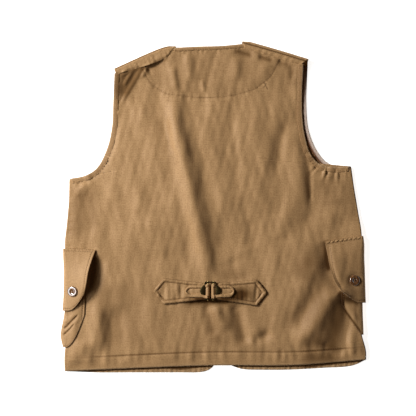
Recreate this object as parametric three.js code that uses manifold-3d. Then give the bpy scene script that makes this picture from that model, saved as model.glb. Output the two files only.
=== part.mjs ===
// A sleeveless work vest of cotton twill, laid on its front with the back up.
// +X is to the right as one looks down on the back, +Y runs from hem to neck, +Z is up.
// The origin is under the middle of the vest, on the surface that it lies on. Millimetres.
import * as THREE from "three";
import { mergeVertices } from "three/addons/utils/BufferGeometryUtils.js";
import Module from "manifold-3d";

const wasm = await Module();
wasm.setup();

// Driving dimensions
const CLOTH = 1.6; // twill wall
const SEAM_GAP = 0.3; // air between two layers that are sewn together
const LAYER = CLOTH + SEAM_GAP; // from one layer's middle to the next layer's middle
const HEM_DEPTH = 26; // turned-up hem of the back
const HEM_EXTRA = 1.2; // what the turned-up layer adds to the wall
const CROWN_HEIGHT = 14; // middle of the back panel above the floor
const EDGE_ROUND = 52; // width over which the back rises from an edge to the crown
const SHOULDER_ROLL = 3.55; // radius of the fold where the fronts roll over the shoulder
const POCKET_LIFT = 7; // how far the pockets lift the fronts off the floor
const POCKET_BULGE = 11.5; // how far a pocket stands off the body
const FRONT_REACH = 118; // how far pockets and flaps run on under the fronts
const BINDING_WIDTH = 9; // folded strip round each armhole
const NECK_BINDING_WIDTH = 6;
const BINDING = 1; // wall of the folded strips
const BINDING_GAP = 0.8; // air under them on the curved back
const BUTTON_RADIUS = 10;
const BUTTON_HEIGHT = 3.4;
const BUTTON_HOLE_RADIUS = 1.1;
const BUTTON_HOLE_RING = 2.6; // from the button's centre to each of its four holes
const BUCKLE = { x: -6, y: -168, width: 46, height: 37, plate: 1.8, corner: 13 };
const BUCKLE_WINDOW = { width: 21, height: 31 };
const BAR_RADIUS = 1.5;
const BAR_SPACING = 10.8;
const BAR_LENGTH = 40;
const STRAP_TAIL = 23; // width of the strap's folded-back end
const STRAP_GAP = 0.4; // further air under the straps
const LOOP_RUN = 5.5; // over which the folded-back end comes down from the bar onto the strap

const BACK_COLUMNS = 30; // of the back's wall
const BACK_ROWS = 30;
const UNDER_NECK = 0.985; // share of the way up at which the back's last row but one lies
const UNDERARM = 0.6; // share of the side outline, hem to shoulder, at which the armhole begins
const ARMHOLE_PACE = 0.82; // below 1, rows lie closer at the shoulder than at the underarm
const NECK_START = 0.34; // shares of the top edge at which the neck begins and ends
const NECK_END = 0.69;

const { lerp, smoothstep, clamp } = THREE.MathUtils;
const vec = (x, y, z = 0) => new THREE.Vector3(x, y, z);

// Outlines of the panels. Each stretch is a smooth curve through its points; corners lie between stretches.
const SIDE_LEFT = [
  vec(-297.5, -329), vec(-297.5, -298), vec(-291.5, -240), vec(-291.5, -130),
  vec(-297, -76), vec(-293, -35), vec(-289, 13), vec(-288, 54),
];
const SIDE_RIGHT = [
  vec(305, -306), vec(304.5, -288), vec(297, -260), vec(289.5, -225), vec(290, -110),
  vec(296, -60), vec(289, -11), vec(281, 37), vec(275, 79.5),
];
const ARMHOLE_LEFT = [
  vec(-288, 54, 3.6), vec(-256, 60.5, 4.5), vec(-232, 76, 6), vec(-212, 113, 9),
  vec(-201.5, 157, 10), vec(-199, 205, 10), vec(-196.5, 266, 6),
];
const ARMHOLE_RIGHT = [
  vec(275, 79.5, 3.6), vec(243, 78, 4.5), vec(213, 83, 6), vec(193, 104, 9),
  vec(179, 154, 11), vec(175.5, 210, 11), vec(178, 285, 6),
];
const BACK_HEM = [
  vec(-297.5, -329, 3.6), vec(-158, -323, 9), vec(0, -317.5, 11), vec(163, -317, 10), vec(305, -306, 3.6),
];
const SHOULDER_LEFT = [vec(-196.5, 266, 6), vec(-102, 306, 6), vec(-78, 315.5, 6)];
const BACK_NECK = [vec(-78, 315.5, 6), vec(-40, 317.5, 10.5), vec(20, 319.5, 10.5), vec(60, 323.5, 6)];
const SHOULDER_RIGHT = [vec(60, 323.5, 6), vec(120, 305, 6), vec(178, 285, 6)];

// The fronts, seen through the back. Hem and shoulder fold run from side to middle, the others upwards.
const FRONT_HEM_LEFT = [
  vec(-297.5, -329), vec(-233, -331.5), vec(-159, -331.5), vec(-57, -331.5), vec(-33, -331.5),
  vec(-14, -328.5), vec(-2, -321), vec(6, -307), vec(9, -290),
];
const FRONT_HEM_RIGHT = [
  vec(305, -306), vec(277, -318), vec(219, -322.5), vec(153, -326), vec(109, -326.5),
  vec(56, -324.5), vec(37, -318), vec(19, -306), vec(12, -286),
];
const FRONT_EDGE_LEFT = [vec(9, -290), vec(9, 90)];
const FRONT_EDGE_RIGHT = [vec(12, -286), vec(12, 90)];
const FRONT_V_LEFT = [vec(9, 90), vec(-48, 230), vec(-75, 318)];
const FRONT_V_RIGHT = [vec(12, 90), vec(50, 230), vec(62, 327)];
const FRONT_ARMHOLE_LEFT = [
  vec(-288, 54), vec(-250, 57), vec(-226, 76), vec(-205, 113),
  vec(-194, 160), vec(-192, 210), vec(-196.5, 270),
];
const FRONT_ARMHOLE_RIGHT = [
  vec(275, 79.5), vec(243, 81), vec(224, 90), vec(206.5, 112), vec(195, 137),
  vec(188.5, 162), vec(185.5, 212), vec(186.5, 245), vec(188.5, 289),
];
const FOLD_LEFT = [vec(-196.5, 270), vec(-104, 310.5), vec(-75, 318)];
const FOLD_RIGHT = [vec(188.5, 289), vec(126, 308), vec(62, 327)];
const FRONT_SEAM_SHARE = 0.66; // share of the front edge at which the V begins

// How far each front rolls over the shoulder onto the back, and how far past that the back stays flat.
const ROLL_STRIP_LEFT = 15;
const ROLL_STRIP_RIGHT = 9.5;
const FLAT_PAST_STRIP = 3;

// Folds of the back. A ridge runs from (x0, y0) to (x1, y1), falls away over `left` and `right`, and stands
// `height` above the crown. A hollow has a negative height.
const BACK_FOLDS = [
  { name: "main ridge", x0: -80, y0: 240, x1: 4, y1: -148, left: 25, right: 17, height: 9 },
  { name: "hollow beside it", x0: -50, y0: 210, x1: 30, y1: -140, left: 16, right: 18, height: -2.5 },
  { name: "soft ridge right of centre", x0: 26, y0: 225, x1: 76, y1: -110, left: 26, right: 24, height: 3.5 },
  { name: "left yoke pleat", x0: -56, y0: 312, x1: -46, y1: 232, left: 11, right: 11, height: 3.5 },
  { name: "ridge under the right armhole", x0: 168, y0: 150, x1: 178, y1: 0, left: 28, right: 15, height: 7 },
  { name: "its turn towards the waist", x0: 182, y0: 20, x1: 120, y1: -80, left: 22, right: 16, height: 4.5 },
  { name: "upper drag line, right", x0: 216, y0: -104, x1: 132, y1: -220, left: 22, right: 15, height: 7 },
  { name: "lower drag line, right", x0: 248, y0: -150, x1: 178, y1: -256, left: 20, right: 14, height: 8 },
  { name: "left hem pleat", x0: -224, y0: -186, x1: -219, y1: -300, left: 17, right: 11, height: 4 },
  { name: "pleat below the buckle", x0: 14, y0: -200, x1: 54, y1: -292, left: 18, right: 13, height: 4.5 },
  { name: "left waist ripple", x0: -146, y0: 76, x1: -134, y1: -30, left: 20, right: 14, height: 3 },
  { name: "left shoulder drag", x0: -150, y0: 276, x1: -194, y1: 196, left: 11, right: 12, height: -3.5 },
];

// Patch pockets and flaps run round the side. A row is a section from the back, round the side, to the front:
// where its inner edge lies on the back, how low it hangs at the side, how far it stands off the back at its
// free edge and at the side, and how far its nose stands out past the body.
const POCKETS = {
  left: {
    side: -1,
    rows: [
      { inner: -257, innerY: -215, sideY: -281, bulge: 0.15, nose: 4 },
      { inner: -256, innerY: -190, sideY: -253, bulge: 0.75, nose: 12 },
      { inner: -255, innerY: -160, sideY: -205, bulge: 1, nose: 6 },
      { inner: -254, innerY: -122, sideY: -122, bulge: 0.68, nose: 4 },
    ],
  },
  right: {
    side: 1,
    rows: [
      { inner: 256, innerY: -196, sideY: -256, bulge: 0.15, nose: 3 },
      { inner: 255, innerY: -172, sideY: -230, bulge: 0.75, nose: 8 },
      { inner: 254, innerY: -140, sideY: -180, bulge: 1, nose: 9 },
      { inner: 252, innerY: -100, sideY: -97, bulge: 0.68, nose: 6 },
    ],
  },
};
const FLAPS = {
  left: {
    side: -1,
    rows: [
      { inner: -235, innerY: -87, sideY: -84, free: 0, bulge: 0, nose: 3 },
      { inner: -242, innerY: -106, sideY: -108, free: 6, bulge: 10.8, nose: 5.5 },
      { inner: -249, innerY: -130, sideY: -138, free: 11, bulge: 14.4, nose: 7 },
      { inner: -255, innerY: -154, sideY: -175, free: 13, bulge: 15.4, nose: 8.5 },
      { inner: -260, innerY: -174, sideY: -208, free: 12, bulge: 15.4, nose: 10.5 },
    ],
  },
  right: {
    side: 1,
    rows: [
      { inner: 222, innerY: -70, sideY: -59, free: 0, bulge: 0, nose: 2 },
      { inner: 227, innerY: -94, sideY: -84, free: 4, bulge: 10.8, nose: 7 },
      { inner: 233, innerY: -124, sideY: -118, free: 6, bulge: 14.4, nose: 11.5 },
      { inner: 241, innerY: -148, sideY: -156, free: 7, bulge: 15.4, nose: 14 },
      { inner: 252, innerY: -165, sideY: -192, free: 8, bulge: 15.4, nose: 15.5 },
    ],
  },
};
// Where the pockets lift the fronts: inwards from LIFT_OUTER to LIFT_INNER, and over these stretches of y.
const LIFT_OUTER = 150;
const LIFT_INNER = 90;
const LIFTS = [
  { side: -1, foot: -328, fullFrom: -292, fullTo: -92, top: -34 },
  { side: 1, foot: -310, fullFrom: -268, fullTo: -66, top: -8 },
];
const BUTTONS = { left: { x: -280.5, y: -169 }, right: { x: 282.5, y: -147 } };

// Cinch straps: pointed at the end that is sewn to the back, tapering to the bar of the buckle.
const STRAPS = {
  left: {
    side: -1, tip: -120, shoulder: -99, tipY: -168.6, wideY: -170.5, wide: 49, narrow: 30, tailEnd: -56,
  },
  right: { side: 1, tip: 105, shoulder: 86, tipY: -173, wideY: -174, wide: 50, narrow: 30, tailEnd: 41 },
};

// Finishes
const TWILL = { color: 0xa6855d, roughness: 0.92, metalness: 0 };
const TWILL_EDGE = { color: 0x9c7a54, roughness: 0.9, metalness: 0 };
const FACING = { color: 0xb8957a, roughness: 0.9, metalness: 0 };
const HORN = { color: 0x7a5636, roughness: 0.25, metalness: 0 };
const BRONZE = { color: 0x3b3220, roughness: 0.4, metalness: 1 };

// A function of 0..1 along one or more stretches, each a list of points, the share of the way at which it
// ends and the pace at which it is gone along.
function route(...stretches) {
  const parts = stretches.map(([points, end, pace = 1]) => ({
    curve: new THREE.CatmullRomCurve3(points, false, "centripetal"), end, pace,
  }));
  return (share) => {
    const index = parts.findIndex((part) => share <= part.end + 1e-9);
    const start = index > 0 ? parts[index - 1].end : 0;
    const part = clamp((share - start) / (parts[index].end - start), 0, 1);
    return parts[index].curve.getPointAt(part ** parts[index].pace);
  };
}

// A surface spanned between four edges: bottom and top run with u, left and right run with v.
function spanned(bottom, top, left, right) {
  const corner = [bottom(0), bottom(1), top(0), top(1)];
  return (u, v) => {
    const point = bottom(u).multiplyScalar(1 - v).addScaledVector(top(u), v);
    point.addScaledVector(left(v), 1 - u).addScaledVector(right(v), u);
    point.addScaledVector(corner[0], -(1 - u) * (1 - v)).addScaledVector(corner[1], -u * (1 - v));
    return point.addScaledVector(corner[2], -(1 - u) * v).addScaledVector(corner[3], -u * v);
  };
}

const shares = (count) => Array.from({ length: count + 1 }, (_, index) => index / count);

// A closed wall of cloth about its middle surface pointAt(u, v), with columns at the us and rows at the vs.
function clothWall(pointAt, us, vs, thickness = () => CLOTH) {
  const positions = [];
  const index = [];
  const step = 1e-3;
  const across = us.length;
  const layer = across * vs.length;
  for (const face of [0.5, -0.5]) {
    for (const v of vs) {
      for (const u of us) {
        const alongU = pointAt(Math.min(u + step, us.at(-1)), v).sub(pointAt(Math.max(u - step, us[0]), v));
        const alongV = pointAt(u, Math.min(v + step, vs.at(-1))).sub(pointAt(u, Math.max(v - step, vs[0])));
        const normal = alongU.cross(alongV).normalize();
        positions.push(...pointAt(u, v).addScaledVector(normal, face * thickness(u, v)).toArray());
      }
    }
  }
  const quad = (a, b, c, d) => index.push(a, b, c, a, c, d);
  const at = (column, row) => row * across + column;
  for (let row = 0; row < vs.length - 1; row++) {
    for (let column = 0; column < across - 1; column++) {
      const [a, b] = [at(column, row), at(column + 1, row)];
      const [c, d] = [at(column + 1, row + 1), at(column, row + 1)];
      quad(a, b, c, d);
      quad(layer + d, layer + c, layer + b, layer + a);
    }
  }
  const rim = (a, b) => quad(a, a + layer, b + layer, b);
  const lastRow = vs.length - 1;
  for (let column = 0; column < across - 1; column++) {
    rim(at(column, 0), at(column + 1, 0));
    rim(at(column + 1, lastRow), at(column, lastRow));
  }
  for (let row = 0; row < lastRow; row++) {
    rim(at(across - 1, row), at(across - 1, row + 1));
    rim(at(0, row + 1), at(0, row));
  }
  const geometry = new THREE.BufferGeometry();
  geometry.setAttribute("position", new THREE.Float32BufferAttribute(positions, 3));
  geometry.setIndex(index);
  return geometry;
}

// Height of the fronts: flat on the floor, lifted where a pocket lies under them.
function frontHeight(x, y) {
  const lifts = LIFTS.map(({ side, foot, fullFrom, fullTo, top }) => {
    const up = smoothstep(y, foot, fullFrom) * (1 - smoothstep(y, fullTo, top));
    return up * smoothstep(side * x, LIFT_INNER, LIFT_OUTER);
  });
  return CLOTH / 2 + POCKET_LIFT * Math.max(...lifts);
}

// The back's edges with their heights. Along a shoulder the cloth stays flat for a margin, under the strip.
const BACK_EDGES = [
  { points: SIDE_LEFT, sewn: true, margin: 0 },
  { points: SIDE_RIGHT, sewn: true, margin: 0 },
  { points: ARMHOLE_LEFT, margin: 0 },
  { points: ARMHOLE_RIGHT, margin: 0 },
  { points: BACK_HEM, margin: 0 },
  { points: BACK_NECK, margin: 0 },
  { points: SHOULDER_LEFT, margin: ROLL_STRIP_LEFT + FLAT_PAST_STRIP },
  { points: SHOULDER_RIGHT, margin: ROLL_STRIP_RIGHT + FLAT_PAST_STRIP },
].map((edge) => {
  const samples = new THREE.CatmullRomCurve3(edge.points, false, "centripetal").getSpacedPoints(80);
  const seamHeight = (point) => frontHeight(point.x, point.y) + LAYER + 0.75 * HEM_EXTRA;
  if (edge.sewn) samples.forEach((point) => point.setZ(seamHeight(point)));
  return { ...edge, samples };
});

function foldHeight(x, y) {
  return BACK_FOLDS.reduce((sum, fold) => {
    const [dx, dy] = [fold.x1 - fold.x0, fold.y1 - fold.y0];
    const length = Math.hypot(dx, dy);
    const along = ((x - fold.x0) * dx + (y - fold.y0) * dy) / length ** 2;
    const beside = ((x - fold.x0) * -dy + (y - fold.y0) * dx) / length;
    const width = beside < 0 ? fold.left : fold.right;
    const fade = smoothstep(along, 0, 0.28) * (1 - smoothstep(along, 0.72, 1));
    return sum + fold.height * fade * Math.exp(-((beside / width) ** 2));
  }, 0);
}

// Height of the back panel's middle surface: from the nearest edge it rises to the crown with its folds.
function backHeight(x, y) {
  let nearest = { distance: Infinity, z: 0 };
  for (const { samples, margin } of BACK_EDGES) {
    for (const point of samples) {
      const distance = Math.max(0, Math.hypot(point.x - x, point.y - y) - margin);
      if (distance < nearest.distance) nearest = { distance, z: point.z };
    }
  }
  const rise = 1 - (1 - Math.min(1, nearest.distance / EDGE_ROUND)) ** 2;
  return lerp(nearest.z, CROWN_HEIGHT + foldHeight(x, y), rise);
}

// Back panel
const backOutline = {
  hem: route([BACK_HEM, 1]),
  top: route([SHOULDER_LEFT, NECK_START], [BACK_NECK, NECK_END], [SHOULDER_RIGHT, 1]),
  left: route([SIDE_LEFT, UNDERARM], [ARMHOLE_LEFT, 1, ARMHOLE_PACE]),
  right: route([SIDE_RIGHT, UNDERARM], [ARMHOLE_RIGHT, 1, ARMHOLE_PACE]),
};
const backPlan = spanned(backOutline.hem, backOutline.top, backOutline.left, backOutline.right);

function backPoint(u, v) {
  const point = backPlan(u, v);
  return point.setZ(backHeight(point.x, point.y));
}

const backLength = BACK_NECK[1].y - BACK_HEM[2].y;
const hemShare = HEM_DEPTH / backLength;
const backColumns = shares(BACK_COLUMNS);
// Rows of the back: both sides of the hem's stitch line, closer under the arms, and one below the neck.
const hemRows = [0, hemShare, hemShare + 0.005];
const plainRows = shares(BACK_ROWS).filter((v) => v > hemShare + 0.02);
const closeRows = [UNDERARM + 0.011, UNDERARM + 0.022, UNDER_NECK];
const backRows = [...hemRows, ...plainRows, ...closeRows].sort((a, b) => a - b);

function backPanel() {
  return clothWall(backPoint, backColumns, backRows, (u, v) => (v > hemShare ? CLOTH : CLOTH + HEM_EXTRA));
}

// A narrow strip along an edge from share `from` to share `to`, laid `width` inwards at the height given.
// Walking along the edge, the cloth lies on the left where side is 1 and on the right where it is -1.
function edgeStrip({ edge, from, to, side, width, steps, height }) {
  const stripPoint = (u, v) => {
    const share = lerp(from, to, v);
    const along = edge(share + 0.005).sub(edge(share - 0.005)).normalize();
    const point = edge(share).addScaledVector(vec(-side * along.y, side * along.x), u * width);
    return point.setZ(height(point.x, point.y));
  };
  return clothWall(stripPoint, shares(1), shares(steps), () => BINDING);
}

// Height at which a strip rests on the upper face of the back's wall.
const downwards = new THREE.Raycaster();
const seatOnBack = (back) => (x, y) => {
  downwards.set(vec(x, y, 2 * POCKET_BULGE + 2 * CROWN_HEIGHT), vec(0, 0, -1));
  const top = downwards.intersectObject(back)[0]?.point.z ?? backHeight(x, y) + CLOTH / 2;
  return top + BINDING / 2 + BINDING_GAP;
};

// The armhole strips stop where the rolled shoulder strip begins.
function armholeBinding(side, height) {
  const edge = side < 0 ? backOutline.left : backOutline.right;
  const span = { edge, from: UNDERARM + 0.03, to: 0.965 };
  return edgeStrip({ ...span, side, width: BINDING_WIDTH, steps: 22, height });
}

function neckBinding(height) {
  const span = { edge: backOutline.top, from: NECK_START + 0.06, to: NECK_END - 0.05 };
  return edgeStrip({ ...span, side: -1, width: NECK_BINDING_WIDTH, steps: 12, height });
}

// Front panels: flat under the back, rolled over the shoulder fold and laid onto the back's shoulder edge.
function frontPanel({ hem, outer, inner, fold, strip, side }) {
  const plan = spanned(hem, fold, outer, inner);
  const turn = fold(1).sub(fold(0)).multiplyScalar(-side);
  const outwards = vec(-turn.y, turn.x).normalize();
  const rollLength = Math.PI * SHOULDER_ROLL;
  const frontPoint = (u, v) => {
    const point = plan(u, Math.min(v, 1));
    point.z = frontHeight(point.x, point.y);
    const over = Math.max(0, v - 1) * (rollLength + strip);
    const angle = Math.min(over / SHOULDER_ROLL, Math.PI);
    const back = Math.max(0, over - rollLength);
    point.addScaledVector(outwards, SHOULDER_ROLL * Math.sin(angle) - back);
    point.z += SHOULDER_ROLL * (1 - Math.cos(angle));
    return point;
  };
  const rollShare = rollLength / (rollLength + strip);
  const overRows = [0.25, 0.5, 0.75, 1].map((part) => 1 + part * rollShare);
  return clothWall(frontPoint, frontColumns, [...shares(19), ...overRows, 2]);
}

// Columns lie closer towards the rounded corner of the hem.
const frontColumns = [0, 0.13, 0.26, 0.38, 0.5, 0.6, 0.7, 0.8, 0.87, 0.92, 0.96, 1];

const FRONTS = {
  left: {
    side: -1,
    hem: route([FRONT_HEM_LEFT, 1]),
    outer: route([SIDE_LEFT, UNDERARM], [FRONT_ARMHOLE_LEFT, 1, ARMHOLE_PACE]),
    inner: route([FRONT_EDGE_LEFT, FRONT_SEAM_SHARE], [FRONT_V_LEFT, 1]),
    fold: route([FOLD_LEFT, 1]),
    strip: ROLL_STRIP_LEFT,
  },
  right: {
    side: 1,
    hem: route([FRONT_HEM_RIGHT, 1]),
    outer: route([SIDE_RIGHT, UNDERARM], [FRONT_ARMHOLE_RIGHT, 1, ARMHOLE_PACE]),
    inner: route([FRONT_EDGE_RIGHT, FRONT_SEAM_SHARE], [FRONT_V_RIGHT, 1]),
    fold: route([FOLD_RIGHT, 1]),
    strip: ROLL_STRIP_RIGHT,
  },
};

// A strip on the inner face of a front, along its armhole.
function armholeFacing({ side, outer }) {
  const span = { edge: outer, from: UNDERARM + 0.05, to: 0.95 };
  const height = (x, y) => frontHeight(x, y) + (CLOTH + BINDING) / 2 + SEAM_GAP;
  return edgeStrip({ ...span, side, width: BINDING_WIDTH, steps: 18, height });
}

// One value of a row table at t from 0 to 1, smooth between rows.
function rowValue(rows, column, t) {
  const place = clamp(t, 0, 1) * (rows.length - 1);
  const row = Math.min(Math.floor(place), rows.length - 2);
  const before = rows[Math.max(row - 1, 0)][column];
  const after = rows[Math.min(row + 2, rows.length - 1)][column];
  const [start, end] = [rows[row][column], rows[row + 1][column]];
  const part = place - row;
  const [startSlope, endSlope] = [(end - before) / 2, (after - start) / 2];
  return (
    (2 * part ** 3 - 3 * part ** 2 + 1) * start + (part ** 3 - 2 * part ** 2 + part) * startSlope +
    (3 * part ** 2 - 2 * part ** 3) * end + (part ** 3 - part ** 2) * endSlope
  );
}

function bodySide(side, y) {
  const samples = BACK_EDGES[side < 0 ? 0 : 1].samples;
  const after = clamp(samples.findIndex((point) => point.y > y), 1, samples.length - 1);
  const [low, high] = [samples[after - 1], samples[after]];
  return lerp(low.x, high.x, clamp((y - low.y) / (high.y - low.y), 0, 1));
}

// Shares of a section's way from the back's leg, round the nose, to the leg under the front.
const BACK_LEG = 0.4;
const NOSE = 0.65;

// A piece wrapped round the body's side. standOff(t, f) is its height above the back, and
// floorHeight(t, f, x, y) its height under the front, where f runs from its inner edge (0) to the side (1).
function wrappedPoint({ side, rows }, standOff, floorHeight) {
  return (s, t) => {
    const innerY = rowValue(rows, "innerY", t);
    const sideY = rowValue(rows, "sideY", t);
    const edgeX = bodySide(side, sideY);
    const inner = rowValue(rows, "inner", t);
    const nose = rowValue(rows, "nose", t);
    const legY = (f) => innerY + (sideY - innerY) * Math.sin((f * Math.PI) / 2);
    const topHeight = (f) => {
      const x = lerp(inner, edgeX, f);
      return backHeight(x, legY(f)) + LAYER + standOff(t, f);
    };
    if (s <= BACK_LEG) {
      const f = s / BACK_LEG;
      return vec(lerp(inner, edgeX, f), legY(f), topHeight(f));
    }
    if (s < NOSE) {
      const angle = (Math.PI * (s - BACK_LEG)) / (NOSE - BACK_LEG);
      const [top, bottom] = [topHeight(1), floorHeight(t, 1, edgeX, sideY)];
      const z = (top + bottom) / 2 + ((top - bottom) / 2) * Math.cos(angle);
      return vec(edgeX + side * nose * Math.sin(angle), sideY, z);
    }
    const f = (1 - s) / (1 - NOSE);
    const x = edgeX - side * FRONT_REACH * (1 - f);
    return vec(x, legY(f), floorHeight(t, f, x, legY(f)));
  };
}

const sectionShares = [
  ...[0, 0.25, 0.5, 0.75, 1].map((part) => part * BACK_LEG),
  ...[1, 2, 3, 4].map((part) => lerp(BACK_LEG, NOSE, part / 5)),
  ...[0, 0.1, 0.4, 0.7, 0.9, 1].map((part) => lerp(NOSE, 1, part)),
];

// A pocket is sewn to the body along its inner edges and its foot, and is open at its mouth under the flap.
function pocketSurface(pocket) {
  const standOff = (t, f) => {
    const eased = Math.sin((f * Math.PI) / 2) ** 0.8;
    return POCKET_BULGE * rowValue(pocket.rows, "bulge", t) * eased;
  };
  const floorHeight = (t, f, x, y) => {
    const sewn = frontHeight(x, y) - LAYER - SEAM_GAP;
    const open = smoothstep(t, 0, 0.3) * smoothstep(f, 0, 0.35);
    return Math.max(CLOTH / 2 + LAYER, lerp(sewn, CLOTH / 2 + LAYER, open));
  };
  return wrappedPoint(pocket, standOff, floorHeight);
}

// A flap is sewn along its top and hangs free over the pocket's mouth.
function flapSurface(flap) {
  const standOff = (t, f) => {
    const eased = Math.sin((f * Math.PI) / 2);
    return lerp(rowValue(flap.rows, "free", t), rowValue(flap.rows, "bulge", t), eased);
  };
  const floorHeight = (t, f, x, y) => {
    const sewn = frontHeight(x, y) - LAYER - 3 * SEAM_GAP;
    return lerp(sewn, CLOTH / 2, smoothstep(t, 0, 0.22));
  };
  return wrappedPoint(flap, standOff, floorHeight);
}

// Solids for cutting and joining
function solidOf(geometry) {
  const bare = geometry.clone();
  bare.deleteAttribute("normal");
  bare.deleteAttribute("uv");
  const merged = mergeVertices(bare, 1e-4);
  const triVerts = new Uint32Array(merged.index.array);
  return new wasm.Manifold(
    new wasm.Mesh({ numProp: 3, vertProperties: merged.attributes.position.array, triVerts }),
  );
}

function geometryOf(solid) {
  const { vertProperties, triVerts } = solid.getMesh();
  const geometry = new THREE.BufferGeometry();
  geometry.setAttribute("position", new THREE.BufferAttribute(new Float32Array(vertProperties), 3));
  return geometry.setIndex(new THREE.BufferAttribute(new Uint32Array(triVerts), 1));
}

// A turned button: a rolled rim, a dished middle and four thread holes.
function button() {
  const r = BUTTON_RADIUS;
  const h = BUTTON_HEIGHT;
  const profile = [
    [0, 0], [r * 0.72, 0], [r * 0.94, h * 0.3], [r, h * 0.6], [r * 0.93, h * 0.92], [r * 0.82, h],
    [r * 0.68, h * 0.86], [r * 0.56, h * 0.6], [0, h * 0.55],
  ].map(([x, y]) => new THREE.Vector2(x, y));
  const disc = new THREE.LatheGeometry(profile, 18).rotateX(Math.PI / 2);
  const holes = [45, 135, 225, 315].map((degrees) => {
    const angle = THREE.MathUtils.degToRad(degrees);
    const hole = new THREE.CylinderGeometry(BUTTON_HOLE_RADIUS, BUTTON_HOLE_RADIUS, 3 * h, 6);
    const [x, y] = [BUTTON_HOLE_RING * Math.cos(angle), BUTTON_HOLE_RING * Math.sin(angle)];
    return hole.rotateX(Math.PI / 2).translate(x, y, 0);
  });
  return geometryOf(holes.reduce((solid, hole) => solid.subtract(solidOf(hole)), solidOf(disc)));
}

// Where a surface passes under (x, y) on its upper side, and which way it faces there.
function seatOn(pointAt, x, y) {
  let best = { distance: Infinity };
  for (const s of shares(160)) {
    for (const t of shares(160)) {
      const point = pointAt(s * BACK_LEG, t);
      const distance = Math.hypot(point.x - x, point.y - y);
      if (distance < best.distance) best = { distance, s: s * BACK_LEG, t, point };
    }
  }
  const step = 0.02;
  const alongS = pointAt(best.s + step, best.t).sub(pointAt(best.s - step, best.t));
  const alongT = pointAt(best.s, best.t + step).sub(pointAt(best.s, best.t - step));
  const normal = alongS.cross(alongT).normalize();
  return { point: best.point, normal: normal.z < 0 ? normal.negate() : normal };
}

function placeButton(mesh, surface, { x, y }) {
  const { point, normal } = seatOn(surface, x, y);
  mesh.position.copy(point.addScaledVector(normal, CLOTH / 2 + 2.2 * SEAM_GAP));
  mesh.quaternion.setFromUnitVectors(vec(0, 0, 1), normal);
}

// Cinch: both straps and the buckle lie on the back's crown.
const strapHeight = (x, y) => backHeight(x, y) + LAYER + STRAP_GAP;
const buckleBase = strapHeight(BUCKLE.x, BUCKLE.y) + STRAP_GAP;
const loopRadius = BAR_RADIUS + SEAM_GAP + CLOTH / 2;
const barHeight = buckleBase + loopRadius;
const plateBottom = buckleBase + LAYER + CLOTH / 2 + 2 * SEAM_GAP;

// Shares of a strap's length at which its point, its base, its loop round the bar and its tail end.
const STRAP_POINT = 0.12;
const STRAP_BASE = 0.5;
const STRAP_LOOP = 0.68;

// Half of the cinch. The strap lies on the back from tip to bar, goes round the bar and back over itself.
function strapWall({ side, tip, shoulder, tipY, wideY, wide, narrow, tailEnd }) {
  const barX = BUCKLE.x + (side * BAR_SPACING) / 2;
  const lineY = BUCKLE.y - 1;
  const loopWidth = narrow - 2;
  const baseAt = (share) => {
    const point = share / STRAP_POINT;
    if (point < 1) {
      return { x: lerp(tip, shoulder, point), y: lerp(tipY, wideY, point), width: lerp(2, wide, point) };
    }
    const q = (share - STRAP_POINT) / (STRAP_BASE - STRAP_POINT);
    return { x: lerp(shoulder, barX, q), y: lerp(wideY, lineY, q), width: lerp(wide, narrow, q) };
  };
  const tailAt = (share) => {
    const q = (share - STRAP_LOOP) / (1 - STRAP_LOOP);
    const roundEnd = Math.sqrt(1 - smoothstep(q, 0.72, 1) ** 2);
    const width = lerp(loopWidth, STRAP_TAIL, smoothstep(q, 0, 0.3)) * Math.max(0.25, roundEnd);
    return { x: lerp(barX, tailEnd, q), y: lineY, width };
  };
  const strapPoint = (u, v) => {
    const across = side * (0.5 - u);
    if (v > STRAP_BASE && v < STRAP_LOOP) {
      const turn = (Math.PI * (v - STRAP_BASE)) / (STRAP_LOOP - STRAP_BASE);
      const x = barX - side * loopRadius * Math.sin(turn);
      return vec(x, lineY + across * loopWidth, barHeight - loopRadius * Math.cos(turn));
    }
    const place = v <= STRAP_BASE ? baseAt(v) : tailAt(v);
    const y = place.y + across * place.width;
    const fromBar = Math.abs(place.x - barX);
    const base = lerp(buckleBase, strapHeight(place.x, y), smoothstep(fromBar, 14, 40));
    const overTail = lerp(2 * loopRadius, LAYER, smoothstep(fromBar, 0, LOOP_RUN));
    return vec(place.x, y, v <= STRAP_BASE ? base : base + overTail);
  };
  const rows = [
    0, ...shares(7).map((q) => lerp(STRAP_POINT, STRAP_BASE, q)),
    ...[0.2, 0.4, 0.6, 0.8, 1].map((q) => lerp(STRAP_BASE, STRAP_LOOP, q)),
    ...[0.05, 0.1, 0.14, 0.3, 0.5, 0.7, 0.8, 0.88, 0.95, 1].map((q) => lerp(STRAP_LOOP, 1, q)),
  ];
  return clothWall(strapPoint, shares(4), rows);
}

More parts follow.
